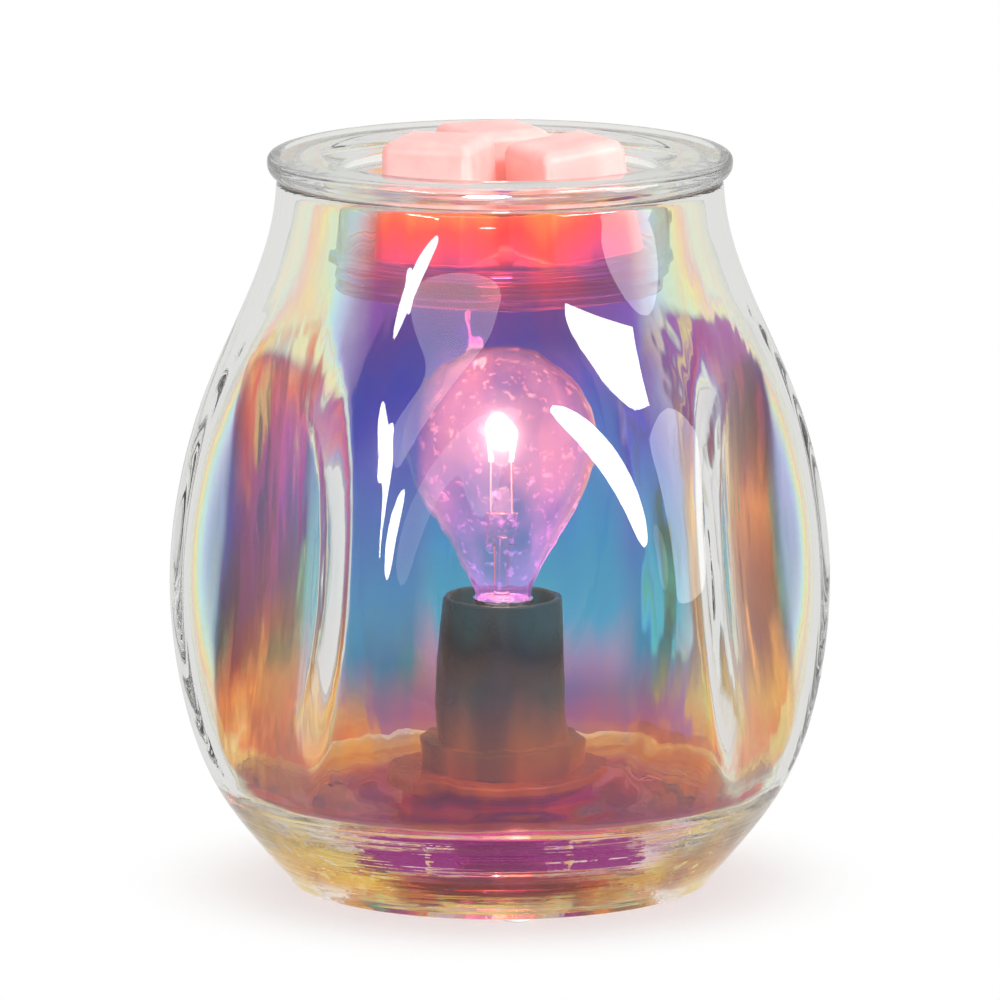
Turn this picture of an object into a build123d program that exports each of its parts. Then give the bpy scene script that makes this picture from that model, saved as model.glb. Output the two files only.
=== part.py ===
from build123d import *
import math
import os

# Wax melt warmer: a scooped glass body with a lift-off glass dish, three wax melts, a screw-in
# globe bulb, and a lampholder clamped through the glass floor by a hollow threaded stem.
# Frame: millimetres, +Z up, origin on the table under the centre line, front towards -Y.

# Fits shared by several pieces
seat_gap = 0.2
slide_gap = 0.4
slip_gap = 0.1
cut_overrun = 5.0

# Table pads under the glass foot
pad_radius = 3.0
pad_thickness = 1.0
pad_edge = 0.3
pad_count = 3
pad_turn = -90.0

# Glass body outline
belly_height = 63.0
belly_radius = 69.6
neck_radius = 46.9
foot_radius = 43.7
glass_wall = 4.2
rim_rounding = 1.5
foot_rounding = 1.0
foot_slope = 46.0
# (share of the height up to the belly, share of the bulge from foot to belly)
lower_outline_shares = ((0.0, 0.0), (0.141, 0.301), (0.302, 0.591), (0.616, 0.888), (1.0, 1.0))
# (share of the height from belly to rim, share of the bulge from neck to belly)
upper_outline_shares = ((0.260, 0.899), (0.503, 0.621), (0.703, 0.286), (0.849, 0.084), (1.0, 0.0))

# Thumbprint scoops round the belly
scoop_count = 6
scoop_start = -90.0
scoop_depth = 12.0
scoop_floor_gap = 6.6
scoop_rim_gap = 30.2
scoop_overrun_share = 1.2
ridge_width = 15.5
scoop_rounding = 5.0
scoop_inner_rounding = 4.0

# Glass floor, the recess under it and the cord notch at the back
punt_depth = 15.5
punt_mouth_radius = 34.5
punt_top_radius = 31.0
punt_rounding = 2.5
floor_thickness = 5.0
floor_rounding = 5.0
floor_hole_radius = 10.0
notch_width = 8.0
notch_height = 10.5

# Glass dish
flange_overhang = 1.9
bulb_headroom = 13.3
flange_thickness = 5.0
flange_top_rounding = 1.4
flange_bottom_rounding = 3.0
mouth_step = 1.6
mouth_step_rounding = 0.5
lip_flare = 3.7
lip_height = 3.5
lip_rounding = 1.8
well_gap = 6.6
well_draft = 0.8
well_depth = 22.0
well_rounding = 4.0
dish_wall = 2.3
dish_floor_thickness = 3.2
dish_under_rounding = 0.8
dish_foot_height = 3.0
dish_foot_width = 3.4
dish_foot_inset = 0.9
dish_edge_rounding = 0.8
bead_radius = 1.0

# Wax melts: the base is a share of the radius of the well's floor, so that three fit in the well
melt_base_share = 0.645
melt_height = 26.4
melt_draft = 2.0
melt_corner = 2.8
melt_top_edge = 2.6
melt_bottom_edge = 1.6
melt_gap = 0.3
# Name, centre as shares of the well's floor radius, height as a share of the full height,
# turn about Z and lean about its own Y, both in degrees
melt_layout_shares = (
    ("wax_melt_left", (-0.412, -0.245), 1.00, -22.0, 0.0),
    ("wax_melt_right", (0.452, -0.215), 0.92, 22.0, -6.0),
    ("wax_melt_back", (-0.010, 0.430), 0.96, 18.0, 0.0),
)

# Hollow threaded stem and its fasteners
stem_radius = 5.0
stem_bore = 3.6
stem_length = 22.8
stem_chamfer = 0.6
nut_across_flats = 14.0
nut_sides = 6
nut_thickness = 3.5
nut_chamfer = 0.5
washer_radius = 8.6
washer_thickness = 1.0
washer_tooth_count = 10
washer_tooth_gap = 1.2
washer_tooth_depth = 1.6

# Gaskets on both faces of the glass floor
gasket_thickness = 1.3
gasket_radius = 20.5
gasket_spigot_height = 2.0
gasket_edge = 0.4

# Mounting flange, socket cap and locking ring
flange_radius = 23.6
plate_thickness = 2.4
plate_edge = 0.7
cap_radius = 16.0
cap_thickness = 1.6
cap_boss_radius = 12.4
cap_boss_height = 4.2
ring_wall = 2.2
ring_height = 6.2
ring_lip = 1.4
ring_rounding = 0.8
core_screw_radius = 1.1
core_screw_head_radius = 2.2
core_screw_head_height = 1.6
core_screw_length = 10.0
core_screw_circle = 8.9
core_screw_count = 2
core_screw_turn = 90.0

# Sleeve and core of the lampholder
sleeve_base_radius = 14.6
sleeve_top_radius = 13.0
sleeve_height = 34.7
sleeve_wall = 1.4
sleeve_lip_rounding = 0.6
core_radius = 11.0
core_height = 26.5
core_bore_depth = 16.5
core_edge = 0.5
wire_well_radius = 4.0
wire_slot_width = 3.0
wire_slot_height = 3.0
contact_tube_wall = 0.45
contact_tube_height = 14.0
contact_tube_lip = 0.9
contact_ledge = 1.35
leaf_half_length = 4.2
leaf_width = 4.6
leaf_thickness = 0.5
leaf_rise = 1.3
terminal_height = 5.2
terminal_recess = 2.2
terminal_recess_width = 7.0
terminal_recess_height = 7.0
terminal_head_radius = 2.2
terminal_head_height = 1.1
terminal_shank_radius = 1.0
terminal_shank_length = 3.2

# Screw-in globe bulb
thread_radius = 5.95
thread_depth = 0.6
thread_pitch = 2.54
thread_turns = 3.0
thread_start = 1.2
cap_shell_wall = 0.45
cap_shell_length = 13.7
cap_collar_height = 2.0
cap_collar_flare = 1.25
cap_flare_height = 0.9
insulator_height = 3.0
insulator_plug_height = 1.5
insulator_tip_radius = 3.2
solder_radius = 2.3
solder_height = 1.5
solder_rounding = 0.7
globe_radius = 20.5
globe_rise = 32.5
globe_taper = 30.0
neck_rounding = 6.0
envelope_wall = 0.7
mount_flare_height = 1.6
mount_radius = 1.7
mount_height = 15.0
mount_rounding = 2.0
press_width = 6.4
press_thickness = 2.0
press_height = 5.0
press_rounding = 0.6
lead_radius = 0.25
lead_spread = 2.2
lead_height = 11.0
filament_radius = 0.45
filament_half_width = 2.9
filament_shoulder = 6.4
filament_height = 9.6
filament_rounding = 1.8

# Base cup under the glass floor, its lid and the cord inlet
cup_radius = 24.0
cup_wall = 2.0
cup_clearance = 2.4
cup_rounding = 1.2
cup_flat = 0.6
lid_thickness = 1.6
boss_radius = 3.8
boss_circle = 18.5
lid_screw_count = 3
lid_screw_turn = 30.0
lid_screw_radius = 1.1
lid_screw_length = 8.0
lid_screw_head_radius = 2.5
lid_screw_head_height = 1.2
slot_width = 0.7
slot_depth = 0.6
grommet_bore = 2.6
grommet_body = 3.4
grommet_flange = 4.3
grommet_flange_thickness = 1.2
grommet_edge = 0.4
cord_height = 8.6

# Heights above the table, worked out from the sizes above: up through the floor and the holder
# to the bulb, the dish over it and the glass rim that carries the dish
shell_bottom = pad_thickness
floor_underside = shell_bottom + punt_depth
floor_top = floor_underside + floor_thickness
plate_bottom = floor_top + gasket_thickness
plate_top = plate_bottom + plate_thickness
boss_bottom = plate_top + cap_thickness
core_bottom = boss_bottom + cap_boss_height
core_top = core_bottom + core_height
core_floor = core_top - core_bore_depth
sleeve_top = boss_bottom + sleeve_height
sleeve_foot_top = plate_top + ring_height - ring_lip - slip_gap
contact_tube_bottom = core_top - contact_tube_height
solder_bottom = core_floor + leaf_thickness + leaf_rise + seat_gap
insulator_bottom = solder_bottom + solder_height
cap_shell_bottom = insulator_bottom + insulator_height
cap_shell_top = cap_shell_bottom + cap_shell_length
collar_bottom = cap_shell_top - cap_collar_height
globe_centre = cap_shell_top + globe_rise
dish_bottom = globe_centre + globe_radius + bulb_headroom
dish_under = dish_bottom + dish_foot_height
dish_floor = dish_under + dish_floor_thickness
dish_top = dish_floor + well_depth
dish_flange_bottom = dish_top - flange_thickness
shell_top = dish_flange_bottom - seat_gap
shell_height = shell_top - shell_bottom
cup_top = floor_underside - gasket_thickness
cup_ceiling = cup_top - cup_wall
lid_top = cup_clearance + lid_thickness
washer_bottom = cup_ceiling - washer_thickness
nut_bottom = washer_bottom - nut_thickness
stem_top = core_bottom - slide_gap
stem_bottom = stem_top - stem_length

# Radii worked out from the sizes above
pad_circle = (foot_radius + punt_mouth_radius) / 2
stem_hole = stem_radius + slip_gap
ring_inner = cap_radius + slip_gap
ring_outer = ring_inner + ring_wall
thread_root = thread_radius - thread_depth
collar_radius = thread_root + cap_collar_flare
bulb_neck_radius = collar_radius - cap_shell_wall - slip_gap
mouth_radius = neck_radius - glass_wall
dish_radius = neck_radius + flange_overhang
well_radius = mouth_radius - well_gap - dish_wall
well_floor_radius = well_radius - well_draft
lip_radius = well_radius + lip_flare
melt_base = well_floor_radius * melt_base_share
contact_tube_inner = thread_radius + seat_gap
contact_tube_outer = contact_tube_inner + contact_tube_wall
core_bore_radius = contact_tube_outer + slip_gap
core_pit_radius = core_bore_radius - contact_ledge

os.makedirs("parts", exist_ok=True)


def write(piece, name):
    """Labels a finished piece and writes it as one STEP file."""
    piece.part.label = name
    export_step(piece.part, f"parts/{name}.step")


def outline(*corners):
    """A closed outline of (radius, height, corner rounding), ready to turn about the centre line."""
    with BuildSketch(Plane.XZ) as section:
        with BuildLine():
            FilletPolyline(
                *[(radius, height) for radius, height, _ in corners],
                radius=[rounding for _, _, rounding in corners],
                close=True,
            )
        make_face()
    return section.sketch


def outline_curve(inset):
    """The glass outline from foot to rim as one smooth curve, moved inwards by inset."""
    lower = [
        (
            foot_radius + bulge * (belly_radius - foot_radius) - inset,
            shell_bottom + rise * belly_height,
        )
        for rise, bulge in lower_outline_shares
    ]
    upper = [
        (
            neck_radius + bulge * (belly_radius - neck_radius) - inset,
            shell_bottom + belly_height + rise * (shell_height - belly_height),
        )
        for rise, bulge in upper_outline_shares
    ]
    start = (math.cos(math.radians(foot_slope)), math.sin(math.radians(foot_slope)))
    with BuildLine() as curve:
        Spline(*lower, *upper, tangents=[start, (0, 1)])
    return curve.edge()


def outline_solid(inset):
    """The solid inside the glass outline moved inwards by inset."""
    side = outline_curve(inset)
    with BuildPart() as solid:
        with BuildSketch(Plane.XZ):
            with BuildLine():
                add(side)
                Polyline(side @ 1, (0, shell_top), (0, shell_bottom), side @ 0)
            make_face()
        revolve(axis=Axis.Z)
    return solid.part


def scoop_solid(inset):
    """A long spindle beside the body whose near side scoops one thumbprint out of it.

    It leaves the glass scoop_floor_gap over the floor and scoop_rim_gap under the rim, is
    scoop_depth deep in between, and is as wide as the ridges between neighbours allow.
    """
    side = outline_curve(0)
    low_level = floor_top + scoop_floor_gap
    high_level = shell_top - scoop_rim_gap
    low_end = side.find_intersection_points(Axis((0, low_level, 0), (1, 0, 0)))[0]
    high_end = side.find_intersection_points(Axis((0, high_level, 0), (1, 0, 0)))[0]
    along = (high_end - low_end).normalized()
    out = Vector(along.Y, -along.X)
    half_length = (high_end - low_end).length / 2
    middle = (low_end + high_end) / 2
    bow = (middle.X - belly_radius + scoop_depth) / out.X
    half_angle = math.pi / scoop_count - ridge_width / 2 / belly_radius
    half_width = belly_radius * math.sin(half_angle)
    rim_depth = belly_radius * math.cos(half_angle) - belly_radius + scoop_depth
    spindle_radius = (rim_depth**2 + half_width**2) / (2 * rim_depth)
    deepest = middle - out * (bow + inset)
    reach = along * (half_length * scoop_overrun_share)
    lift = out * (bow * scoop_overrun_share**2)
    low_corner = deepest - reach + lift
    high_corner = deepest + reach + lift
    axis_middle = deepest + out * (spindle_radius + inset)
    with BuildPart() as spindle:
        with BuildSketch(Plane.XZ):
            with BuildLine():
                ThreePointArc(low_corner, deepest, high_corner)
                Polyline(high_corner, axis_middle + reach, axis_middle - reach, low_corner)
            make_face()
        revolve(axis=Axis((axis_middle.X, 0, axis_middle.Y), (along.X, 0, along.Y)))
    return spindle.part


def scoop_rims(solid):
    """The closed edges where the scoops leave the body."""
    return solid.edges().filter_by(
        lambda edge: edge.is_closed and edge.bounding_box().size.Z > scoop_depth
    )


# Glass body: the hollow is made first, then taken out of the scooped outside
with BuildPart() as hollow:
    add(outline_solid(glass_wall))
    with BuildSketch(Plane.XY):
        Circle(belly_radius)
    extrude(amount=floor_top, mode=Mode.SUBTRACT)
    fillet(hollow.faces().sort_by(Axis.Z)[0].edges(), floor_rounding)
    with PolarLocations(0, scoop_count, start_angle=scoop_start):
        add(scoop_solid(glass_wall), mode=Mode.SUBTRACT)
    fillet(scoop_rims(hollow), scoop_inner_rounding)

with BuildPart() as glass_shell:
    add(outline_solid(0))
    fillet(glass_shell.faces().sort_by(Axis.Z)[0].edges(), foot_rounding)
    with PolarLocations(0, scoop_count, start_angle=scoop_start):
        add(scoop_solid(0), mode=Mode.SUBTRACT)
    fillet(scoop_rims(glass_shell), scoop_rounding)
    add(hollow.part, mode=Mode.SUBTRACT)
    fillet(glass_shell.faces().sort_by(Axis.Z)[-1].edges(), rim_rounding)
    recess = outline(
        (0, shell_bottom - cut_overrun, 0),
        (punt_mouth_radius, shell_bottom - cut_overrun, 0),
        (punt_mouth_radius, shell_bottom, 0),
        (punt_top_radius, floor_underside, punt_rounding),
        (floor_hole_radius, floor_underside, 0),
        (floor_hole_radius, floor_top + cut_overrun, 0),
        (0, floor_top + cut_overrun, 0),
    )
    revolve(recess, axis=Axis.Z, mode=Mode.SUBTRACT)
    with BuildSketch(Plane.XZ):
        with Locations((0, shell_bottom)):
            SlotCenterPoint((0, 0), (0, notch_height - notch_width / 2), notch_width)
    extrude(amount=-belly_radius, mode=Mode.SUBTRACT)
write(glass_shell, "glass_shell")

for pad_index in range(pad_count):
    pad_angle = math.radians(pad_turn + pad_index * 360 / pad_count)
    with BuildPart() as bumper_pad:
        with BuildSketch(Plane.XY):
            with Locations((pad_circle * math.cos(pad_angle), pad_circle * math.sin(pad_angle))):
                Circle(pad_radius)
        extrude(amount=pad_thickness)
        fillet(bumper_pad.faces().sort_by(Axis.Z)[0].edges(), pad_edge)
    write(bumper_pad, f"bumper_pad_{pad_index + 1}")

# Glass dish
step_radius = mouth_radius - slide_gap
step_bottom = dish_flange_bottom - mouth_step
well_outer_radius = well_radius + dish_wall
well_outer_bottom_radius = well_floor_radius + dish_wall
foot_outer_radius = well_outer_bottom_radius - dish_foot_inset
foot_inner_radius = foot_outer_radius - dish_foot_width
with BuildPart() as wax_dish:
    dish_outline = outline(
        (0, dish_floor, 0),
        (well_floor_radius, dish_floor, well_rounding),
        (well_radius, dish_top - lip_height, lip_rounding),
        (lip_radius, dish_top, lip_rounding),
        (dish_radius, dish_top, flange_top_rounding),
        (dish_radius, dish_flange_bottom, flange_bottom_rounding),
        (step_radius, dish_flange_bottom, mouth_step_rounding),
        (step_radius, step_bottom, mouth_step_rounding),
        (well_outer_radius, step_bottom, dish_edge_rounding),
        (well_outer_bottom_radius, dish_under, dish_under_rounding),
        (foot_outer_radius, dish_under, 0),
        (foot_outer_radius, dish_bottom, dish_edge_rounding),
        (foot_inner_radius, dish_bottom, dish_edge_rounding),
        (foot_inner_radius, dish_under, dish_edge_rounding),
        (0, dish_under, 0),
    )
    revolve(dish_outline, axis=Axis.Z)
    with BuildSketch(Plane.XZ):
        with Locations((well_outer_bottom_radius, dish_floor + bead_radius)):
            Circle(bead_radius)
    revolve(axis=Axis.Z)
write(wax_dish, "wax_dish")

# Wax melts: drafted cubes with rounded edges, one of them leaning on the wall of the well
for melt_name, melt_centre, melt_share, melt_turn, melt_lean in melt_layout_shares:
    melt_tall = melt_height * melt_share
    melt_lift = math.sin(math.radians(abs(melt_lean))) * melt_base / 2
    melt_spot = Location(
        (
            melt_centre[0] * well_floor_radius,
            melt_centre[1] * well_floor_radius,
            dish_floor + melt_gap + melt_lift,
        ),
        (0, 0, melt_turn),
    )
    melt_plane = Plane(melt_spot * Location((0, 0, 0), (0, melt_lean, 0)))
    melt_axis = Axis(melt_plane.origin, melt_plane.z_dir)
    with BuildPart() as wax_melt:
        with BuildSketch(melt_plane):
            RectangleRounded(melt_base, melt_base, melt_corner)
        extrude(amount=melt_tall, taper=math.degrees(math.atan(melt_draft / 2 / melt_tall)))
        fillet(wax_melt.faces().filter_by(melt_axis).sort_by(melt_axis)[-1].edges(), melt_top_edge)
        fillet(wax_melt.faces().filter_by(melt_axis).sort_by(melt_axis)[0].edges(), melt_bottom_edge)
    write(wax_melt, melt_name)

# Hollow threaded stem with the nut and lock washer that pull the stack together
with BuildPart() as threaded_stem:
    stem_outline = outline(
        (stem_bore, stem_bottom, 0),
        (stem_radius - stem_chamfer, stem_bottom, 0),
        (stem_radius, stem_bottom + stem_chamfer, 0),
        (stem_radius, stem_top - stem_chamfer, 0),
        (stem_radius - stem_chamfer, stem_top, 0),
        (stem_bore, stem_top, 0),
    )
    revolve(stem_outline, axis=Axis.Z)
write(threaded_stem, "threaded_stem")

with BuildPart() as hex_nut:
    with BuildSketch(Plane.XY.offset(nut_bottom)):
        RegularPolygon(nut_across_flats / 2, nut_sides, major_radius=False)
        Circle(stem_hole, mode=Mode.SUBTRACT)
    extrude(amount=nut_thickness)
    nut_bottom_face = hex_nut.faces().sort_by(Axis.Z)[0]
    chamfer(nut_bottom_face.outer_wire().edges(), nut_chamfer)
write(hex_nut, "hex_nut")

with BuildPart() as lock_washer:
    with BuildSketch(Plane.XY.offset(washer_bottom)):
        Circle(washer_radius)
        Circle(stem_hole, mode=Mode.SUBTRACT)
        with PolarLocations(stem_hole, washer_tooth_count):
            Rectangle(washer_tooth_depth * 2, washer_tooth_gap, mode=Mode.SUBTRACT)
    extrude(amount=washer_thickness)
write(lock_washer, "lock_washer")

# Gaskets: the same moulding on both faces, each with a spigot that centres it in the glass hole
spigot_radius = floor_hole_radius - slip_gap * 2
with BuildPart() as upper_gasket:
    upper_gasket_outline = outline(
        (stem_hole, floor_top - gasket_spigot_height, 0),
        (spigot_radius, floor_top - gasket_spigot_height, gasket_edge),
        (spigot_radius, floor_top, 0),
        (gasket_radius, floor_top, gasket_edge),
        (gasket_radius, plate_bottom, gasket_edge),
        (stem_hole, plate_bottom, 0),
    )
    revolve(upper_gasket_outline, axis=Axis.Z)
write(upper_gasket, "upper_gasket")

with BuildPart() as lower_gasket:
    lower_gasket_outline = outline(
        (stem_hole, cup_top, 0),
        (gasket_radius, cup_top, gasket_edge),
        (gasket_radius, floor_underside, gasket_edge),
        (spigot_radius, floor_underside, 0),
        (spigot_radius, floor_underside + gasket_spigot_height, gasket_edge),
        (stem_hole, floor_underside + gasket_spigot_height, 0),
    )
    revolve(lower_gasket_outline, axis=Axis.Z)
write(lower_gasket, "lower_gasket")

with BuildPart() as mounting_flange:
    flange_outline = outline(
        (stem_hole, plate_bottom, 0),
        (flange_radius, plate_bottom, plate_edge),
        (flange_radius, plate_top, plate_edge),
        (stem_hole, plate_top, 0),
    )
    revolve(flange_outline, axis=Axis.Z)
write(mounting_flange, "mounting_flange")

# Socket cap, screwed on the stem, with two countersunk screws up into the core
core_screw_hole = core_screw_radius + slip_gap
core_screw_head_hole = core_screw_head_radius + slip_gap
with BuildPart() as socket_cap:
    cap_outline = outline(
        (stem_hole, plate_top, 0),
        (cap_radius, plate_top, 0),
        (cap_radius, boss_bottom, 0),
        (cap_boss_radius, boss_bottom, 0),
        (cap_boss_radius, core_bottom, 0),
        (stem_hole, core_bottom, 0),
    )
    revolve(cap_outline, axis=Axis.Z)
    with BuildSketch(Plane.XY.offset(plate_top)):
        with PolarLocations(core_screw_circle, core_screw_count, start_angle=core_screw_turn):
            Circle(core_screw_hole)
    extrude(amount=cap_thickness + cap_boss_height, mode=Mode.SUBTRACT)
    with BuildSketch(Plane.XY.offset(plate_top)):
        with PolarLocations(core_screw_circle, core_screw_count, start_angle=core_screw_turn):
            Circle(core_screw_head_hole)
    extrude(amount=core_screw_head_height + slip_gap, mode=Mode.SUBTRACT)
write(socket_cap, "socket_cap")

with BuildPart() as locking_ring:
    lip_bottom = plate_top + ring_height - ring_lip
    ring_top = plate_top + ring_height
    lip_inner = sleeve_base_radius + slip_gap
    ring_outline = outline(
        (ring_inner, plate_top, 0),
        (ring_outer, plate_top, ring_rounding),
        (ring_outer, ring_top, ring_rounding),
        (lip_inner, ring_top, 0),
        (lip_inner, lip_bottom, 0),
        (ring_inner, lip_bottom, 0),
    )
    revolve(ring_outline, axis=Axis.Z)
write(locking_ring, "locking_ring")

with BuildPart() as socket_sleeve:
    sleeve_outline = outline(
        (sleeve_base_radius - sleeve_wall, boss_bottom, 0),
        (cap_radius, boss_bottom, 0),
        (cap_radius, sleeve_foot_top, 0),
        (sleeve_base_radius, sleeve_foot_top, 0),
        (sleeve_top_radius, sleeve_top, sleeve_lip_rounding),
        (sleeve_top_radius - sleeve_wall, sleeve_top, sleeve_lip_rounding),
        (sleeve_base_radius - sleeve_wall, sleeve_foot_top, 0),
    )
    revolve(sleeve_outline, axis=Axis.Z)
write(socket_sleeve, "socket_sleeve")

# Socket core: a stepped bore for the screw shell, a wire well below and two terminal recesses
terminal_face = core_radius - terminal_recess
terminal_level = core_bottom + terminal_height
with BuildPart() as socket_core:
    core_outline = outline(
        (0, core_bottom, 0),
        (core_radius, core_bottom, core_edge),
        (core_radius, core_top, core_edge),
        (core_bore_radius, core_top, 0),
        (core_bore_radius, contact_tube_bottom, 0),
        (core_pit_radius, contact_tube_bottom, 0),
        (core_pit_radius, core_floor, 0),
        (0, core_floor, 0),
    )
    revolve(core_outline, axis=Axis.Z)
    with BuildSketch(Plane.XY.offset(core_bottom)):
        Circle(wire_well_radius)
        Rectangle(core_radius * 2, wire_slot_width)
    extrude(amount=wire_slot_height, mode=Mode.SUBTRACT)
    with BuildSketch(Plane.XY.offset(core_bottom)):
        with PolarLocations(core_screw_circle, core_screw_count, start_angle=core_screw_turn):
            Circle(core_screw_hole)
    extrude(amount=core_screw_length, mode=Mode.SUBTRACT)
    with BuildSketch(Plane.XY.offset(terminal_level - terminal_recess_height / 2)):
        with Locations((-core_radius, 0), (core_radius, 0)):
            Rectangle(terminal_recess * 2, terminal_recess_width)
    extrude(amount=terminal_recess_height, mode=Mode.SUBTRACT)
    with BuildSketch(Plane.YZ.offset(-core_radius)):
        with Locations((0, terminal_level)):
            Circle(terminal_shank_radius + slip_gap)
    extrude(amount=terminal_recess + terminal_shank_length, mode=Mode.SUBTRACT)
    with BuildSketch(Plane.YZ.offset(core_radius)):
        with Locations((0, terminal_level)):
            Circle(terminal_shank_radius + slip_gap)
    extrude(amount=-terminal_recess - terminal_shank_length, mode=Mode.SUBTRACT)
write(socket_core, "socket_core")


def slotted_screw(head_radius, head_height, shank_radius, shank_length):
    """A cheese-head screw along +Z: the head's underside at zero, the slot facing down."""
    with BuildPart() as screw:
        with BuildSketch(Plane.XY):
            Circle(head_radius)
        extrude(amount=-head_height)
        with BuildSketch(Plane.XY):
            Circle(shank_radius)
        extrude(amount=shank_length)
        with BuildSketch(Plane.XY.offset(-head_height)):
            Rectangle(head_radius * 2, slot_width)
        extrude(amount=slot_depth, mode=Mode.SUBTRACT)
    return screw.part


core_screw_form = slotted_screw(
    core_screw_head_radius, core_screw_head_height, core_screw_radius, core_screw_length
)
for core_screw_name, core_screw_side in (("core_screw_front", -1), ("core_screw_back", 1)):
    with BuildPart() as core_screw:
        with Locations((0, core_screw_side * core_screw_circle, plate_top + core_screw_head_height)):
            add(core_screw_form)
    write(core_screw, core_screw_name)

terminal_form = slotted_screw(
    terminal_head_radius, terminal_head_height, terminal_shank_radius, terminal_shank_length
)
for terminal_name, terminal_side in (("terminal_screw_left", -1), ("terminal_screw_right", 1)):
    with BuildPart() as terminal_screw:
        with Locations(
            Location((terminal_side * terminal_face, 0, terminal_level), (0, -terminal_side * 90, 0))
        ):
            add(terminal_form)
    write(terminal_screw, terminal_name)

with BuildPart() as socket_screw_shell:
    shell_outline = outline(
        (contact_tube_inner, contact_tube_bottom, 0),
        (contact_tube_outer, contact_tube_bottom, 0),
        (contact_tube_outer, core_top, 0),
        (contact_tube_outer + contact_tube_lip, core_top, 0),
        (contact_tube_outer + contact_tube_lip, core_top + contact_tube_wall, 0),
        (contact_tube_inner, core_top + contact_tube_wall, 0),
    )
    revolve(shell_outline, axis=Axis.Z)
write(socket_screw_shell, "socket_screw_shell")

with BuildPart() as centre_contact:
    with BuildSketch(Plane.XZ):
        with BuildLine():
            lower_bow = ThreePointArc(
                (-leaf_half_length, core_floor),
                (0, core_floor + leaf_rise),
                (leaf_half_length, core_floor),
            )
            upper_bow = ThreePointArc(
                (-leaf_half_length, core_floor + leaf_thickness),
                (0, core_floor + leaf_rise + leaf_thickness),
                (leaf_half_length, core_floor + leaf_thickness),
            )
            Line(lower_bow @ 0, upper_bow @ 0)
            Line(lower_bow @ 1, upper_bow @ 1)
        make_face()
    extrude(amount=leaf_width / 2, both=True)
write(centre_contact, "centre_contact")

# Bulb base: threaded shell, insulator and centre contact
cap_shell_inner = thread_root - cap_shell_wall
flare_bottom = collar_bottom - cap_flare_height
with BuildPart() as bulb_cap:
    cap_shell_outline = outline(
        (0, cap_shell_bottom, 0),
        (thread_root, cap_shell_bottom, 0),
        (thread_root, flare_bottom, 0),
        (collar_radius, collar_bottom, 0),
        (collar_radius, cap_shell_top, 0),
        (0, cap_shell_top, 0),
    )
    revolve(cap_shell_outline, axis=Axis.Z)
    with BuildLine() as thread_path:
        thread_curve = Helix(
            thread_pitch,
            thread_pitch * thread_turns,
            thread_root,
            center=(0, 0, cap_shell_bottom + thread_start),
        )
    with BuildSketch(Plane(origin=thread_curve @ 0, z_dir=thread_curve % 0)):
        Circle(thread_depth)
    sweep(path=thread_curve, is_frenet=True)
    cap_hollow_outline = outline(
        (0, cap_shell_bottom, 0),
        (cap_shell_inner, cap_shell_bottom, 0),
        (cap_shell_inner, flare_bottom, 0),
        (collar_radius - cap_shell_wall, collar_bottom, 0),
        (collar_radius - cap_shell_wall, cap_shell_top, 0),
        (0, cap_shell_top, 0),
    )
    revolve(cap_hollow_outline, axis=Axis.Z, mode=Mode.SUBTRACT)
write(bulb_cap, "bulb_cap")

plug_radius = cap_shell_inner - slip_gap
with BuildPart() as bulb_insulator:
    insulator_outline = outline(
        (0, insulator_bottom, 0),
        (insulator_tip_radius, insulator_bottom, 0),
        (thread_root, cap_shell_bottom, 0),
        (plug_radius, cap_shell_bottom, 0),
        (plug_radius, cap_shell_bottom + insulator_plug_height, 0),
        (0, cap_shell_bottom + insulator_plug_height, 0),
    )
    revolve(insulator_outline, axis=Axis.Z)
write(bulb_insulator, "bulb_insulator")

with BuildPart() as bulb_contact:
    solder_outline = outline(
        (0, solder_bottom, 0),
        (solder_radius, solder_bottom, solder_rounding),
        (solder_radius, insulator_bottom, 0),
        (0, insulator_bottom, 0),
    )
    revolve(solder_outline, axis=Axis.Z)
write(bulb_contact, "bulb_contact")


def bulb_outline(inset):
    """Half of the bulb's outline moved inwards by inset: neck, cone and globe."""
    taper = math.radians(globe_taper)
    ball = globe_radius - inset
    neck = bulb_neck_radius - inset
    touch_radius = ball * math.cos(taper)
    touch_height = globe_centre - ball * math.sin(taper)
    cone_rise = (touch_radius - neck) / math.tan(taper)
    bottom = collar_bottom + slip_gap
    with BuildSketch(Plane.XZ) as section:
        with BuildLine():
            FilletPolyline(
                (neck, bottom),
                (neck, touch_height - cone_rise),
                (touch_radius, touch_height),
                radius=neck_rounding + inset,
            )
            RadiusArc((touch_radius, touch_height), (0, globe_centre + ball), -ball)
            Polyline((0, globe_centre + ball), (0, bottom), (neck, bottom))
        make_face()
    return section.sketch


with BuildPart() as bulb_envelope:
    revolve(bulb_outline(0), axis=Axis.Z)
    revolve(bulb_outline(envelope_wall), axis=Axis.Z, mode=Mode.SUBTRACT)
write(bulb_envelope, "bulb_envelope")

# Glass mount inside the bulb: a flared foot closes the neck, a flat press holds the wires
mount_bottom = collar_bottom + slip_gap
mount_foot_radius = bulb_neck_radius - envelope_wall - slip_gap
press_bottom = mount_bottom + mount_height
press_top = press_bottom + press_height
with BuildPart() as bulb_mount:
    mount_outline = outline(
        (0, mount_bottom, 0),
        (mount_foot_radius, mount_bottom, 0),
        (mount_foot_radius, mount_bottom + mount_flare_height / 2, 0),
        (mount_radius, mount_bottom + mount_flare_height, mount_rounding),
        (mount_radius, press_bottom, 0),
        (0, press_bottom, 0),
    )
    revolve(mount_outline, axis=Axis.Z)
    with BuildSketch(Plane.XY.offset(press_bottom - mount_radius)):
        RectangleRounded(press_width, press_thickness, press_rounding)
    extrude(amount=press_height + mount_radius)
write(bulb_mount, "bulb_mount")

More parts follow.
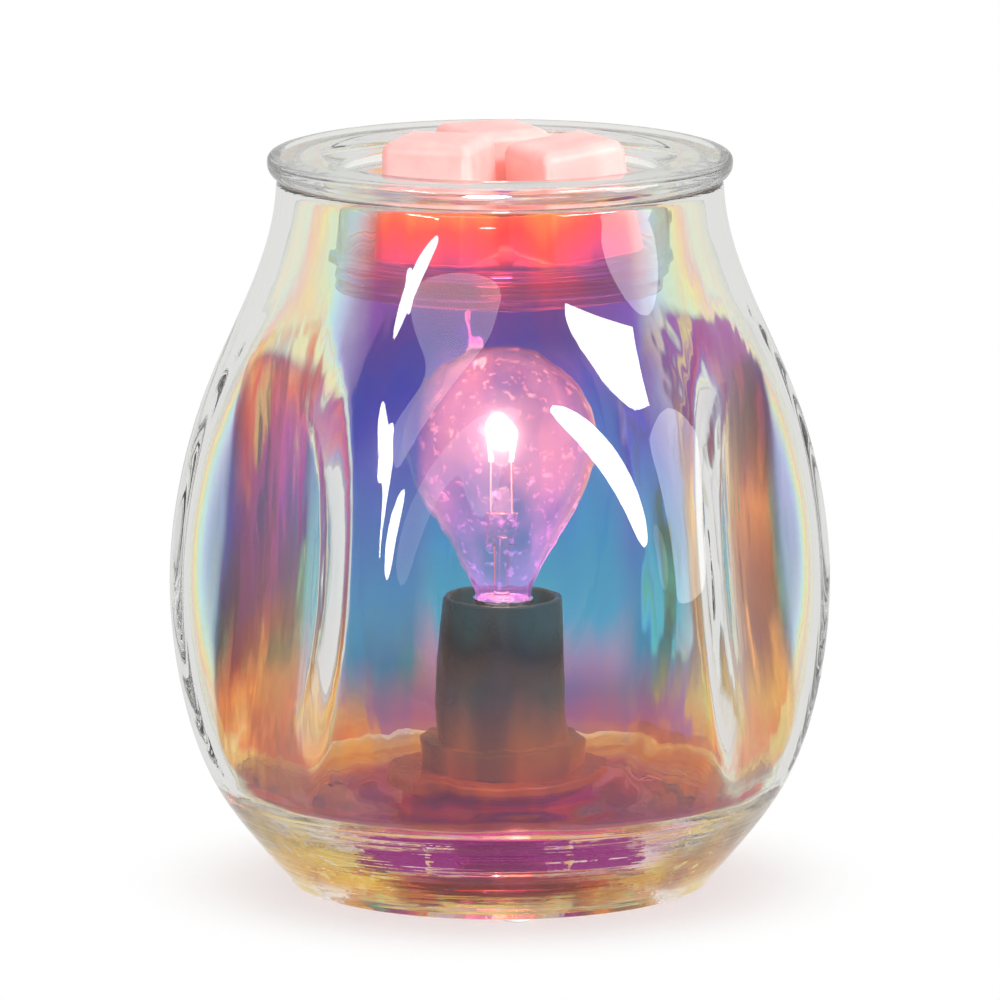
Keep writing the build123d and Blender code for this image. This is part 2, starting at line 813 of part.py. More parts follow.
lead_top = press_top + lead_height
for lead_name, lead_side in (("bulb_lead_left", -1), ("bulb_lead_right", 1)):
    with BuildPart() as bulb_lead:
        with BuildSketch(Plane.XY.offset(press_top)):
            with Locations((lead_side * lead_spread, 0)):
                Circle(lead_radius)
        extrude(amount=lead_height)
    write(bulb_lead, lead_name)

with BuildPart() as bulb_filament:
    with BuildLine(Plane.XZ) as filament_path:
        filament_curve = FilletPolyline(
            (-lead_spread, lead_top),
            (-filament_half_width, lead_top + filament_shoulder),
            (0, lead_top + filament_height),
            (filament_half_width, lead_top + filament_shoulder),
            (lead_spread, lead_top),
            radius=filament_rounding,
        )
    with BuildSketch(Plane(origin=filament_curve @ 0, z_dir=filament_curve % 0)):
        Circle(filament_radius)
    sweep(path=filament_curve)
write(bulb_filament, "bulb_filament")

# Base cup under the glass floor, with bosses for the lid and a flat for the cord grommet
cup_inner_radius = cup_radius - cup_wall
cup_flat_face = cup_radius - cup_flat
lid_screw_hole = lid_screw_radius + slip_gap
with BuildPart() as base_cup:
    cup_outline = outline(
        (stem_hole, cup_top, 0),
        (cup_radius, cup_top, cup_rounding),
        (cup_radius, cup_clearance, 0),
        (cup_inner_radius, cup_clearance, 0),
        (cup_inner_radius, cup_ceiling, 0),
        (stem_hole, cup_ceiling, 0),
    )
    revolve(cup_outline, axis=Axis.Z)
    with BuildSketch(Plane.XY.offset(lid_top)):
        with PolarLocations(boss_circle, lid_screw_count, start_angle=lid_screw_turn):
            Circle(boss_radius)
    extrude(amount=cup_ceiling - lid_top)
    with BuildSketch(Plane.XY.offset(lid_top)):
        with PolarLocations(boss_circle, lid_screw_count, start_angle=lid_screw_turn):
            Circle(lid_screw_hole)
    extrude(amount=lid_screw_length - lid_thickness + slip_gap, mode=Mode.SUBTRACT)
    with BuildSketch(Plane.XZ.offset(-cup_flat_face)):
        with Locations((0, cup_top / 2)):
            Rectangle(cup_radius, cup_top)
    extrude(amount=-cup_wall, mode=Mode.SUBTRACT)
    with BuildSketch(Plane.XZ.offset(-cup_flat_face)):
        with Locations((0, cord_height)):
            Circle(grommet_body + slip_gap)
    extrude(amount=cup_wall * 2, mode=Mode.SUBTRACT)
write(base_cup, "base_cup")

with BuildPart() as base_lid:
    with BuildSketch(Plane.XY.offset(cup_clearance)):
        Circle(cup_inner_radius - slip_gap)
        with PolarLocations(boss_circle, lid_screw_count, start_angle=lid_screw_turn):
            Circle(lid_screw_hole, mode=Mode.SUBTRACT)
    extrude(amount=lid_thickness)
write(base_lid, "base_lid")

lid_screw_form = slotted_screw(
    lid_screw_head_radius, lid_screw_head_height, lid_screw_radius, lid_screw_length
)
for screw_index in range(lid_screw_count):
    screw_angle = math.radians(lid_screw_turn + screw_index * 360 / lid_screw_count)
    screw_x = boss_circle * math.cos(screw_angle)
    screw_y = boss_circle * math.sin(screw_angle)
    with BuildPart() as lid_screw:
        with Locations((screw_x, screw_y, cup_clearance)):
            add(lid_screw_form)
    write(lid_screw, f"lid_screw_{screw_index + 1}")

# Cord grommet: two flanges either side of the cup wall, pointing at the notch in the glass foot
grommet_inner_face = math.sqrt(cup_inner_radius**2 - grommet_flange**2) - slip_gap
with BuildPart() as cord_grommet:
    with BuildSketch(Plane.XZ.offset(-cup_flat_face)):
        with Locations((0, cord_height)):
            Circle(grommet_flange)
    extrude(amount=-grommet_flange_thickness)
    fillet(cord_grommet.faces().sort_by(Axis.Y)[-1].edges(), grommet_edge)
    with BuildSketch(Plane.XZ.offset(-cup_flat_face)):
        with Locations((0, cord_height)):
            Circle(grommet_body)
    extrude(amount=cup_flat_face - grommet_inner_face)
    with BuildSketch(Plane.XZ.offset(-grommet_inner_face)):
        with Locations((0, cord_height)):
            Circle(grommet_flange)
    extrude(amount=grommet_flange_thickness)
    with BuildSketch(Plane.XZ.offset(-cup_flat_face - grommet_flange_thickness)):
        with Locations((0, cord_height)):
            Circle(grommet_bore)
    extrude(amount=cup_radius, mode=Mode.SUBTRACT)
write(cord_grommet, "cord_grommet")
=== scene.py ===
import math

import bpy
import numpy as np
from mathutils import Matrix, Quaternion, Vector


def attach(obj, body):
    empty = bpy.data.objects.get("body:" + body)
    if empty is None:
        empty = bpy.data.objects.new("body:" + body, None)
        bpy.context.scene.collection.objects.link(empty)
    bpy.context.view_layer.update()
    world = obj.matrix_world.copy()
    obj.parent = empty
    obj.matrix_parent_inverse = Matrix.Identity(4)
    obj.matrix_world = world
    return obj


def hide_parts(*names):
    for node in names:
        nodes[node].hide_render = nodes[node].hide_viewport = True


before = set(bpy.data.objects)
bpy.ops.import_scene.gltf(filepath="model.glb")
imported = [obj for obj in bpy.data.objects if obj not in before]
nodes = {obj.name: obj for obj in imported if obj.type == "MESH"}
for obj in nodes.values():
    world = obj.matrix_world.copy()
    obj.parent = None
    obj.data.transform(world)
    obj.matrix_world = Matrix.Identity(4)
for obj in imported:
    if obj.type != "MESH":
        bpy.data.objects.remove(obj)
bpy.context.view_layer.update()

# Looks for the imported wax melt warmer: scooped iridescent glass body, clear glass dish, three wax
# melts and a lit globe bulb in its holder. The glass shapes are in millimetres until mesh() turns
# them to metres. The studio and the textures are in metres.
MM = 0.001

# Camera and studio
PHOTO_AZIMUTH, PHOTO_ELEVATION = -5.0, 10.4
CAMERA_DISTANCE = 2.5
FRAME_WIDTH = 0.2105
SENSOR_WIDTH = 36.0
AIM = Vector((0.0, 0.0, 0.0818))
# Strength of the white room: seen straight, lighting dull surfaces, and seen after a mirroring
SEEN, LIT, MIRRORED = 1.0, 0.86, 0.76
# How often light may turn in all, pass glass and be mirrored: it winds many times round in thick glass
TURNS, PASSES, MIRRORINGS = 32, 28, 24


def direction(azimuth, elevation):
    """Unit vector towards a camera or lamp. Azimuth 0 is in front, and a positive one turns towards +X."""
    a, e = math.radians(azimuth), math.radians(elevation)
    return Vector((math.sin(a) * math.cos(e), -math.cos(a) * math.cos(e), math.sin(e)))


def link(piece):
    """Puts a new object in the scene."""
    bpy.context.scene.collection.objects.link(piece)
    return piece


def photo_camera():
    """The camera of the photograph, a long lens that frames FRAME_WIDTH at AIM."""
    data = bpy.data.cameras.new("camera")
    data.sensor_width = SENSOR_WIDTH
    data.lens = SENSOR_WIDTH * CAMERA_DISTANCE / FRAME_WIDTH
    data.clip_start, data.clip_end = 0.05, 50.0
    camera = link(bpy.data.objects.new("camera", data))
    toward = direction(PHOTO_AZIMUTH, PHOTO_ELEVATION)
    camera.location = AIM + toward * CAMERA_DISTANCE
    camera.rotation_euler = toward.to_track_quat("Z", "Y").to_euler()
    return camera


def lamp(name, azimuth, elevation, distance, width, height, radiance, roll=0.0, shape="RECTANGLE"):
    """A soft box that is seen in mirrors alone. It faces the object and is turned about its axis by roll."""
    data = bpy.data.lights.new(name, "AREA")
    data.shape, data.size, data.size_y = shape, width, height
    data.energy = radiance * math.pi * width * height * (math.pi / 4 if shape == "ELLIPSE" else 1)
    light = link(bpy.data.objects.new(name, data))
    toward = direction(azimuth, elevation)
    light.location = AIM + toward * distance
    turned = toward.to_track_quat("Z", "Y") @ Quaternion((0, 0, 1), math.radians(roll))
    light.rotation_euler = turned.to_euler()
    light.visible_camera = light.visible_transmission = False
    return light


def white_room():
    """A world that is white where it's seen, straight or through glass, and dimmer in mirrors."""
    world = bpy.data.worlds.new("studio")
    world.use_nodes = True
    sky, sky_links = world.node_tree.nodes, world.node_tree.links
    sky.clear()
    path = sky.new("ShaderNodeLightPath")
    seen, lit, mirrored = (sky.new("ShaderNodeBackground") for _ in range(3))
    for shade, strength in ((seen, SEEN), (lit, LIT), (mirrored, MIRRORED)):
        shade.inputs["Color"].default_value = (1.0, 1.0, 1.0, 1.0)
        shade.inputs["Strength"].default_value = strength
    by_mirror, by_light = sky.new("ShaderNodeMixShader"), sky.new("ShaderNodeMixShader")
    sky_links.new(path.outputs["Glossy Depth"], by_mirror.inputs[0])
    sky_links.new(seen.outputs[0], by_mirror.inputs[1])
    sky_links.new(mirrored.outputs[0], by_mirror.inputs[2])
    sky_links.new(path.outputs["Is Diffuse Ray"], by_light.inputs[0])
    sky_links.new(by_mirror.outputs[0], by_light.inputs[1])
    sky_links.new(lit.outputs[0], by_light.inputs[2])
    sky_links.new(by_light.outputs[0], sky.new("ShaderNodeOutputWorld").inputs["Surface"])
    return world


bpy.context.scene.camera = photo_camera()
bpy.context.scene.world = white_room()
# Name, azimuth, elevation, distance, width, height, radiance, roll and shape of each soft box
key_box = lamp("key_box", 44, 35.2, 1.2, 0.62, 0.20, 30)
mirror_boxes = [
    lamp("front_box", -10.8, 6.6, 0.30, 0.115, 0.064, 30, 0, "ELLIPSE"),
    lamp("upper_strip", -46, 19.5, 2.0, 0.20, 1.2, 26, 36, "ELLIPSE"),
    lamp("side_strip", -50, 25, 1.0, 0.07, 0.20, 26, 0, "ELLIPSE"),
    lamp("haze_panel", -27, 30, 1.2, 0.86, 0.36, 3.0, 0, "ELLIPSE"),
    lamp("low_haze", 16, 2.5, 0.30, 0.12, 0.045, 1.6, 0, "ELLIPSE"),
    lamp("band_card", 62, 11, 0.8, 0.42, 0.50, 5.0, -37, "ELLIPSE"),
]
for light in mirror_boxes:
    light.visible_diffuse = False
lamp("top_box", 0, 88, 1.5, 0.9, 0.9, 1.2)
view = bpy.context.scene.view_settings
view.view_transform, view.look = "Standard", "None"
rays = bpy.context.scene.cycles
rays.max_bounces, rays.transmission_bounces, rays.glossy_bounces = TURNS, PASSES, MIRRORINGS

# Meshes


def mesh(name, points, faces, smooth=True):
    """A mesh object from points in millimetres."""
    data = bpy.data.meshes.new(name)
    data.from_pydata((np.asarray(points, float) * MM).tolist(), [], faces)
    data.validate()
    for polygon in data.polygons:
        polygon.use_smooth = smooth
    return link(bpy.data.objects.new(name, data))


def rounded(corners, step):
    """Points along (r, z, rounding) corners, each rounding as an arc with a point every step degrees."""
    points = []
    last_corner = len(corners) - 1
    for i, (x, z, radius) in enumerate(corners):
        here = np.array((x, z), float)
        if radius <= 0 or i in (0, last_corner):
            points.append(tuple(here))
            continue
        before = np.array(corners[i - 1][:2], float) - here
        after = np.array(corners[i + 1][:2], float) - here
        before /= np.linalg.norm(before)
        after /= np.linalg.norm(after)
        half = math.acos(np.clip(before @ after, -1, 1)) / 2
        reach = radius / math.tan(half)
        middle = before + after
        middle /= np.linalg.norm(middle)
        centre = here + middle * radius / math.sin(half)
        first, last = here + before * reach - centre, here + after * reach - centre
        turn = math.atan2(first[0] * last[1] - first[1] * last[0], first @ last)
        steps = max(2, round(abs(math.degrees(turn)) / step))
        for k in range(steps + 1):
            a = turn * k / steps
            c, s = math.cos(a), math.sin(a)
            points.append((centre[0] + c * first[0] - s * first[1], centre[1] + s * first[0] + c * first[1]))
    return points


def arc_points(centre, radius, start, end, count):
    """Points on an arc in (r, z), angles in degrees from outwards towards up."""
    return [
        (centre[0] + radius * math.cos(math.radians(a)), centre[1] + radius * math.sin(math.radians(a)))
        for a in np.linspace(start, end, count)
    ]


def lathe(name, profile, segments):
    """Turns an open or closed (r, z) profile about the centre line. Points on the line are shared."""
    angles = np.arange(segments) * 2 * math.pi / segments
    on_line = 1e-6
    points, rows = [], []
    for r, z in profile:
        if r < on_line:
            rows.append([len(points)] * segments)
            points.append((0, 0, z))
        else:
            rows.append(list(range(len(points), len(points) + segments)))
            points += [(r * math.cos(a), r * math.sin(a), z) for a in angles]
    faces = []
    for low, high in zip(rows, rows[1:]):
        for i in range(segments):
            j = (i + 1) % segments
            face = [low[i], low[j], high[j], high[i]]
            face = [v for k, v in enumerate(face) if v != face[k - 1]]
            if len(face) > 2:
                faces.append(face)
    return mesh(name, points, faces)


# Glass body, in the sizes of the CAD
FOOT_RADIUS, BELLY_RADIUS, NECK_RADIUS, WALL = 43.7, 69.6, 46.9, 4.2
SHELL_BOTTOM, SHELL_TOP, BELLY_HEIGHT, FOOT_SLOPE = 1.0, 150.5, 63.0, 46.0
FOOT_ROUNDING, RIM_ROUNDING = 1.0, 1.5
# (share of the height up to the belly, share of the bulge from foot to belly)
LOWER_OUTLINE_SHARES = ((0.0, 0.0), (0.141, 0.301), (0.302, 0.591), (0.616, 0.888), (1.0, 1.0))
# (share of the height from belly to rim, share of the bulge from neck to belly)
UPPER_OUTLINE_SHARES = ((0.260, 0.899), (0.503, 0.621), (0.703, 0.286), (0.849, 0.084), (1.0, 0.0))
# The foot's rounded edge, as shares of its rounding outwards and up
FOOT_EDGE_SHARES = ((-0.1, 0.0), (0.7, 0.28))
SCOOPS, SCOOP_DEPTH, RIDGE_WIDTH = 6, 12.0, 15.5
SCOOP_FLOOR_GAP, SCOOP_RIM_GAP, SCOOP_OVERRUN_SHARE = 6.6, 30.2, 1.2
SCOOP_ROUNDING, SCOOP_INNER_ROUNDING = 5.0, 4.0
FLOOR_UNDER, FLOOR_TOP, FLOOR_HOLE = 16.5, 21.5, 10.0
# The rounding at the floor's edge ends a little inside the wall, and two rings of points part the floor
FLOOR_ROUNDING, FLOOR_EASE, FLOOR_RINGS = 5.0, 0.2, (44.0, 30.0)
PUNT_MOUTH, PUNT_TOP, PUNT_ROUNDING = 34.5, 31.0, 2.5
NOTCH_WIDTH, NOTCH_HEIGHT, NOTCH_REACH, CUT_OVERRUN = 8.0, 10.5, (25.0, 75.0), 5.0

# Fineness of the body's mesh. Its rows stand closest between FINE_BOTTOM and FINE_TOP, at the scoops.
BODY_SEGMENTS = 336
FINE_BOTTOM, FINE_TOP = 26.0, 123.0
FOOT_ROWS, OUTER_ROWS, INNER_ROWS, NECK_ROWS = 22, 98, 90, 16
RIM_POINTS, FLOOR_POINTS, NOTCH_POINTS, PUNT_STEP = 7, 9, 17, 10
# Radii between which a ray from the centre line meets a scoop, and how often that stretch is halved
NEAR, FAR, HALVINGS = 20.0, 95.0, 40


def outline_points():
    """Radii and heights of the outline's points, from the foot to the rim."""
    lower = [
        (FOOT_RADIUS + bulge * (BELLY_RADIUS - FOOT_RADIUS), SHELL_BOTTOM + rise * BELLY_HEIGHT)
        for rise, bulge in LOWER_OUTLINE_SHARES
    ]
    belly_level = SHELL_BOTTOM + BELLY_HEIGHT
    upper = [
        (NECK_RADIUS + bulge * (BELLY_RADIUS - NECK_RADIUS), belly_level + rise * (SHELL_TOP - belly_level))
        for rise, bulge in UPPER_OUTLINE_SHARES
    ]
    return np.array(lower + upper).T


def outline_radius(z):
    """The glass outline's radius at each height: a smooth cubic through the outline's points."""
    radii, heights = outline_points()
    n = len(heights)
    h = np.diff(heights)
    slopes = np.diff(radii) / h
    system, right = np.zeros((n, n)), np.zeros(n)
    system[0, 0], right[0] = 1, 1 / math.tan(math.radians(FOOT_SLOPE))
    system[-1, -1], right[-1] = 1, 0.0
    for i in range(1, n - 1):
        system[i, i - 1], system[i, i], system[i, i + 1] = h[i], 2 * (h[i - 1] + h[i]), h[i - 1]
        right[i] = 3 * (h[i] * slopes[i - 1] + h[i - 1] * slopes[i])
    m = np.linalg.solve(system, right)
    z = np.clip(np.asarray(z, float), heights[0], heights[-1])
    i = np.clip(np.searchsorted(heights, z) - 1, 0, n - 2)
    t = (z - heights[i]) / h[i]
    return (
        radii[i] * (1 + 2 * t) * (1 - t) ** 2 + m[i] * h[i] * t * (1 - t) ** 2
        + radii[i + 1] * t * t * (3 - 2 * t) + m[i + 1] * h[i] * t * t * (t - 1)
    )


def scoop_distance(r, angle, z, inset):
    """How far a point lies outside the spindle that scoops the glass: above zero is glass."""
    low, high = FLOOR_TOP + SCOOP_FLOOR_GAP, SHELL_TOP - SCOOP_RIM_GAP
    low_end = np.array((float(outline_radius(low)), low))
    high_end = np.array((float(outline_radius(high)), high))
    along = (high_end - low_end) / np.linalg.norm(high_end - low_end)
    out = np.array((along[1], -along[0]))
    middle = (low_end + high_end) / 2
    bow = (middle[0] - BELLY_RADIUS + SCOOP_DEPTH) / out[0]
    half_angle = math.pi / SCOOPS - RIDGE_WIDTH / 2 / BELLY_RADIUS
    half_width = BELLY_RADIUS * math.sin(half_angle)
    rim_depth = BELLY_RADIUS * math.cos(half_angle) - BELLY_RADIUS + SCOOP_DEPTH
    spindle = (rim_depth**2 + half_width**2) / (2 * rim_depth)
    deepest = middle - out * (bow + inset)
    axis = deepest + out * (spindle + inset)
    reach = np.linalg.norm(high_end - low_end) / 2 * SCOOP_OVERRUN_SHARE
    sag = bow * SCOOP_OVERRUN_SHARE**2
    arc = (reach**2 + sag**2) / (2 * sag)
    x, y = r * np.cos(angle) - axis[0], r * np.sin(angle)
    across = x * along[1] - (z - axis[1]) * along[0]
    t = np.clip(x * along[0] + (z - axis[1]) * along[1], -reach, reach)
    return np.hypot(across, y) - (spindle + inset - arc + np.sqrt(arc**2 - t**2))


def scoop_radius(angle, z, inset):
    """The radius at which a ray from the centre line meets the spindle, or FAR."""
    low, high = np.full(angle.shape, NEAR), np.full(angle.shape, FAR)
    there = scoop_distance(high, angle, z, inset) < 0
    for _ in range(HALVINGS):
        middle = (low + high) / 2
        inside = scoop_distance(middle, angle, z, inset) < 0
        high = np.where(inside, middle, high)
        low = np.where(inside, low, middle)
    return np.where(there, (low + high) / 2, FAR)


def soft_min(a, b, width):
    """The lower of two values, rounded over where they lie within width of each other."""
    h = np.clip(width - np.abs(a - b), 0, None) / width
    return np.minimum(a, b) - h * h * width / 4


def ring(radius, z):
    """One row of the body's points, at one radius or at a radius for each point."""
    angles = -math.pi / 2 + 2 * math.pi / BODY_SEGMENTS * np.arange(BODY_SEGMENTS)
    return np.column_stack((radius * np.cos(angles), radius * np.sin(angles), np.full(angles.shape, z)))


def ring_rows(profile):
    """Rows of points for a plain turned stretch of the body."""
    return [ring(r, z) for r, z in profile]


def scooped_rows(heights, inset, rounding):
    """Rows of points for a wall that lies inset within the outline and has the six scoops."""
    sector = 2 * math.pi / SCOOPS
    turned = np.arange(BODY_SEGMENTS) * 2 * math.pi / BODY_SEGMENTS
    from_scoop = np.abs((turned + sector / 2) % sector - sector / 2)
    rows = []
    for z, r in zip(heights, outline_radius(heights) - inset):
        cut = scoop_radius(from_scoop, np.full(from_scoop.shape, z), inset)
        rows.append(ring(soft_min(np.full(from_scoop.shape, r), cut, rounding), z))
    return rows


def levels(*stretches):
    """Heights of the rows, from (start, end, rows) stretches that share their ends."""
    rows = [np.linspace(start, end, count)[:-1] for start, end, count in stretches]
    return np.concatenate((*rows, [stretches[-1][1]]))


def body_rows():
    """All rows of the body's points: up the outside, over the rim, down the inside and out below."""
    side_top, inner_bottom = SHELL_TOP - RIM_ROUNDING, FLOOR_TOP + FLOOR_ROUNDING
    outer_levels = levels(
        (SHELL_BOTTOM + FOOT_ROUNDING, FINE_BOTTOM, FOOT_ROWS), (FINE_BOTTOM, FINE_TOP, OUTER_ROWS),
        (FINE_TOP, side_top, NECK_ROWS),
    )
    inner_levels = levels((inner_bottom, FINE_TOP, INNER_ROWS), (FINE_TOP, side_top, NECK_ROWS))
    foot_edge = [
        (FOOT_RADIUS + out * FOOT_ROUNDING, SHELL_BOTTOM + up * FOOT_ROUNDING) for out, up in FOOT_EDGE_SHARES
    ]
    outer_rim = arc_points((NECK_RADIUS - RIM_ROUNDING, side_top), RIM_ROUNDING, 0, 90, RIM_POINTS)
    inner_rim = arc_points((NECK_RADIUS - WALL + RIM_ROUNDING, side_top), RIM_ROUNDING, 90, 180, RIM_POINTS)
    floor_edge = float(outline_radius(inner_bottom)) - WALL
    floor_arc = arc_points(
        (floor_edge - FLOOR_ROUNDING - FLOOR_EASE, inner_bottom), FLOOR_ROUNDING, 0, -90, FLOOR_POINTS
    )
    floor = [(r, FLOOR_TOP) for r in (*FLOOR_RINGS, FLOOR_HOLE)] + [(FLOOR_HOLE, FLOOR_UNDER)]
    punt = rounded(
        ((PUNT_MOUTH, SHELL_BOTTOM, 0), (PUNT_TOP, FLOOR_UNDER, PUNT_ROUNDING), (FLOOR_HOLE, FLOOR_UNDER, 0)),
        PUNT_STEP,
    )
    return (
        ring_rows(foot_edge)
        + scooped_rows(outer_levels, 0.0, SCOOP_ROUNDING)
        + ring_rows((outer_rim + inner_rim)[1:-1])
        + scooped_rows(inner_levels, WALL, SCOOP_INNER_ROUNDING)[::-1]
        + ring_rows(floor_arc[1:] + floor + punt[::-1][1:])
    )


def closed_rings(name, rows):
    """A closed mesh from rows of BODY_SEGMENTS points each, the last joined to the first."""
    faces = []
    for row in range(len(rows)):
        here, above = row * BODY_SEGMENTS, (row + 1) % len(rows) * BODY_SEGMENTS
        for i in range(BODY_SEGMENTS):
            j = (i + 1) % BODY_SEGMENTS
            faces.append((here + i, here + j, above + j, above + i))
    return mesh(name, np.vstack(rows), faces)


def notch_bar():
    """The slot-shaped bar that cuts the cord notch, from inside the foot out through its back."""
    half = NOTCH_WIDTH / 2
    top = arc_points((0.0, SHELL_BOTTOM + NOTCH_HEIGHT - half), half, 0, 180, NOTCH_POINTS)
    section = [(half, -CUT_OVERRUN), *top, (-half, -CUT_OVERRUN)]
    n = len(section)
    ends = [list(range(n)), list(range(2 * n - 1, n - 1, -1))]
    sides = [(i, i + n, (i + 1) % n + n, (i + 1) % n) for i in range(n)]
    return mesh("notch_cutter", [(x, y, z) for y in NOTCH_REACH for x, z in section], ends + sides)


def cut_away(piece, cutter):
    """Takes the cutter's shape out of a piece and removes the cutter."""
    cut = piece.modifiers.new("cut", "BOOLEAN")
    cut.object, cut.operation, cut.solver = cutter, "DIFFERENCE", "EXACT"
    bpy.context.view_layer.update()
    evaluated = piece.evaluated_get(bpy.context.evaluated_depsgraph_get())
    result = bpy.data.meshes.new_from_object(evaluated)
    piece.modifiers.clear()
    piece.data = result
    bpy.data.objects.remove(cutter)
    for polygon in piece.data.polygons:
        polygon.use_smooth = True


glass_body = closed_rings("glass_body", body_rows())
cut_away(glass_body, notch_bar())
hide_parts("glass_shell")
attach(glass_body, "warmer")

# Glass dish, in the sizes of the CAD
SLIDE_GAP = 0.4
DISH_RADIUS, DISH_BOTTOM, DISH_TOP, DISH_STEP = 48.8, 127.5, 155.7, 9
DISH_WALL, WELL_RADIUS, WELL_DRAFT, WELL_ROUNDING = 2.3, 33.8, 0.8, 4.0
DISH_FOOT_HEIGHT, DISH_FOOT_WIDTH, DISH_FOOT_INSET = 3.0, 3.4, 0.9
DISH_FLOOR_THICKNESS, DISH_EDGE_ROUNDING = 3.2, 0.8
FLANGE_THICKNESS, FLANGE_TOP_ROUNDING, FLANGE_BOTTOM_ROUNDING = 5.0, 1.4, 3.0
MOUTH_STEP, MOUTH_STEP_ROUNDING = 1.6, 0.5
LIP_FLARE, LIP_HEIGHT, LIP_ROUNDING = 3.7, 3.5, 1.8
BEAD, BEAD_DRAFT, BEAD_ROUNDING, BEAD_FOOT_ROUNDING, BEAD_TOP_OUT = 1.0, 0.1, 0.5, 0.2, 0.02
DISH_SEGMENTS = 256


def dish_profile():
    """The dish's outline: the well inside, over the lip and flange, and down to the foot ring."""
    under = DISH_BOTTOM + DISH_FOOT_HEIGHT
    floor = under + DISH_FLOOR_THICKNESS
    flange_bottom = DISH_TOP - FLANGE_THICKNESS
    step_bottom = flange_bottom - MOUTH_STEP
    step_radius = NECK_RADIUS - WALL - SLIDE_GAP
    floor_radius = WELL_RADIUS - WELL_DRAFT
    outer_bottom = floor_radius + DISH_WALL
    foot_outer = outer_bottom - DISH_FOOT_INSET
    foot_inner = foot_outer - DISH_FOOT_WIDTH
    bead_top = floor + 2 * BEAD
    corners = (
        (0, floor, 0),
        (floor_radius, floor, WELL_ROUNDING),
        (WELL_RADIUS, DISH_TOP - LIP_HEIGHT, LIP_ROUNDING),
        (WELL_RADIUS + LIP_FLARE, DISH_TOP, LIP_ROUNDING),
        (DISH_RADIUS, DISH_TOP, FLANGE_TOP_ROUNDING),
        (DISH_RADIUS, flange_bottom, FLANGE_BOTTOM_ROUNDING),
        (step_radius, flange_bottom, MOUTH_STEP_ROUNDING),
        (step_radius, step_bottom, MOUTH_STEP_ROUNDING),
        (WELL_RADIUS + DISH_WALL, step_bottom, DISH_EDGE_ROUNDING),
        (outer_bottom + BEAD_TOP_OUT, bead_top, BEAD_FOOT_ROUNDING),
        (outer_bottom + BEAD, bead_top - BEAD_DRAFT, BEAD_ROUNDING),
        (outer_bottom + BEAD, floor + BEAD_DRAFT, BEAD_ROUNDING),
        (outer_bottom, floor, BEAD_FOOT_ROUNDING),
        (outer_bottom, under, DISH_EDGE_ROUNDING),
        (foot_outer, under, 0),
        (foot_outer, DISH_BOTTOM, DISH_EDGE_ROUNDING),
        (foot_inner, DISH_BOTTOM, DISH_EDGE_ROUNDING),
        (foot_inner, under, DISH_EDGE_ROUNDING),
        (0, under, 0),
    )
    return rounded(corners, DISH_STEP)


glass_dish = lathe("glass_dish", dish_profile()[::-1], DISH_SEGMENTS)
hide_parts("wax_dish")
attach(glass_dish, "dish")

# Bulb glass, in the sizes of the CAD
GLOBE_RADIUS, GLOBE_CENTRE, GLOBE_TAPER = 20.5, 93.7, 30.0
BULB_BOTTOM, BULB_NECK, BULB_NECK_ROUNDING, BULB_WALL = 59.3, 6.05, 6.0, 0.7
FILAMENT_RISE = 1.8
GLOBE_POINTS, BULB_STEP, BULB_SEGMENTS = 48, 4, 160


def bulb_profile(inset):
    """The bulb's outline moved inwards by inset, up from its bottom: straight neck, cone and globe."""
    taper = math.radians(GLOBE_TAPER)
    ball, neck = GLOBE_RADIUS - inset, BULB_NECK - inset
    touch = (ball * math.cos(taper), GLOBE_CENTRE - ball * math.sin(taper))
    cone_rise = (touch[0] - neck) / math.tan(taper)
    cone_bottom = (neck, touch[1] - cone_rise, BULB_NECK_ROUNDING + inset)
    stem = rounded(((neck, BULB_BOTTOM, 0), cone_bottom, (*touch, 0)), BULB_STEP)[:-1]
    globe = [
        (ball * math.cos(a), GLOBE_CENTRE + ball * math.sin(a))
        for a in np.linspace(-taper, math.pi / 2, GLOBE_POINTS)
    ]
    return stem + globe[:-1] + [(0, globe[-1][1])]


outside, inside = bulb_profile(0.0), bulb_profile(BULB_WALL)
bulb_glass = lathe("bulb_globe", outside + inside[::-1] + [outside[0]], BULB_SEGMENTS)
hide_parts("bulb_envelope")
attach(bulb_glass, "bulb")

# Materials


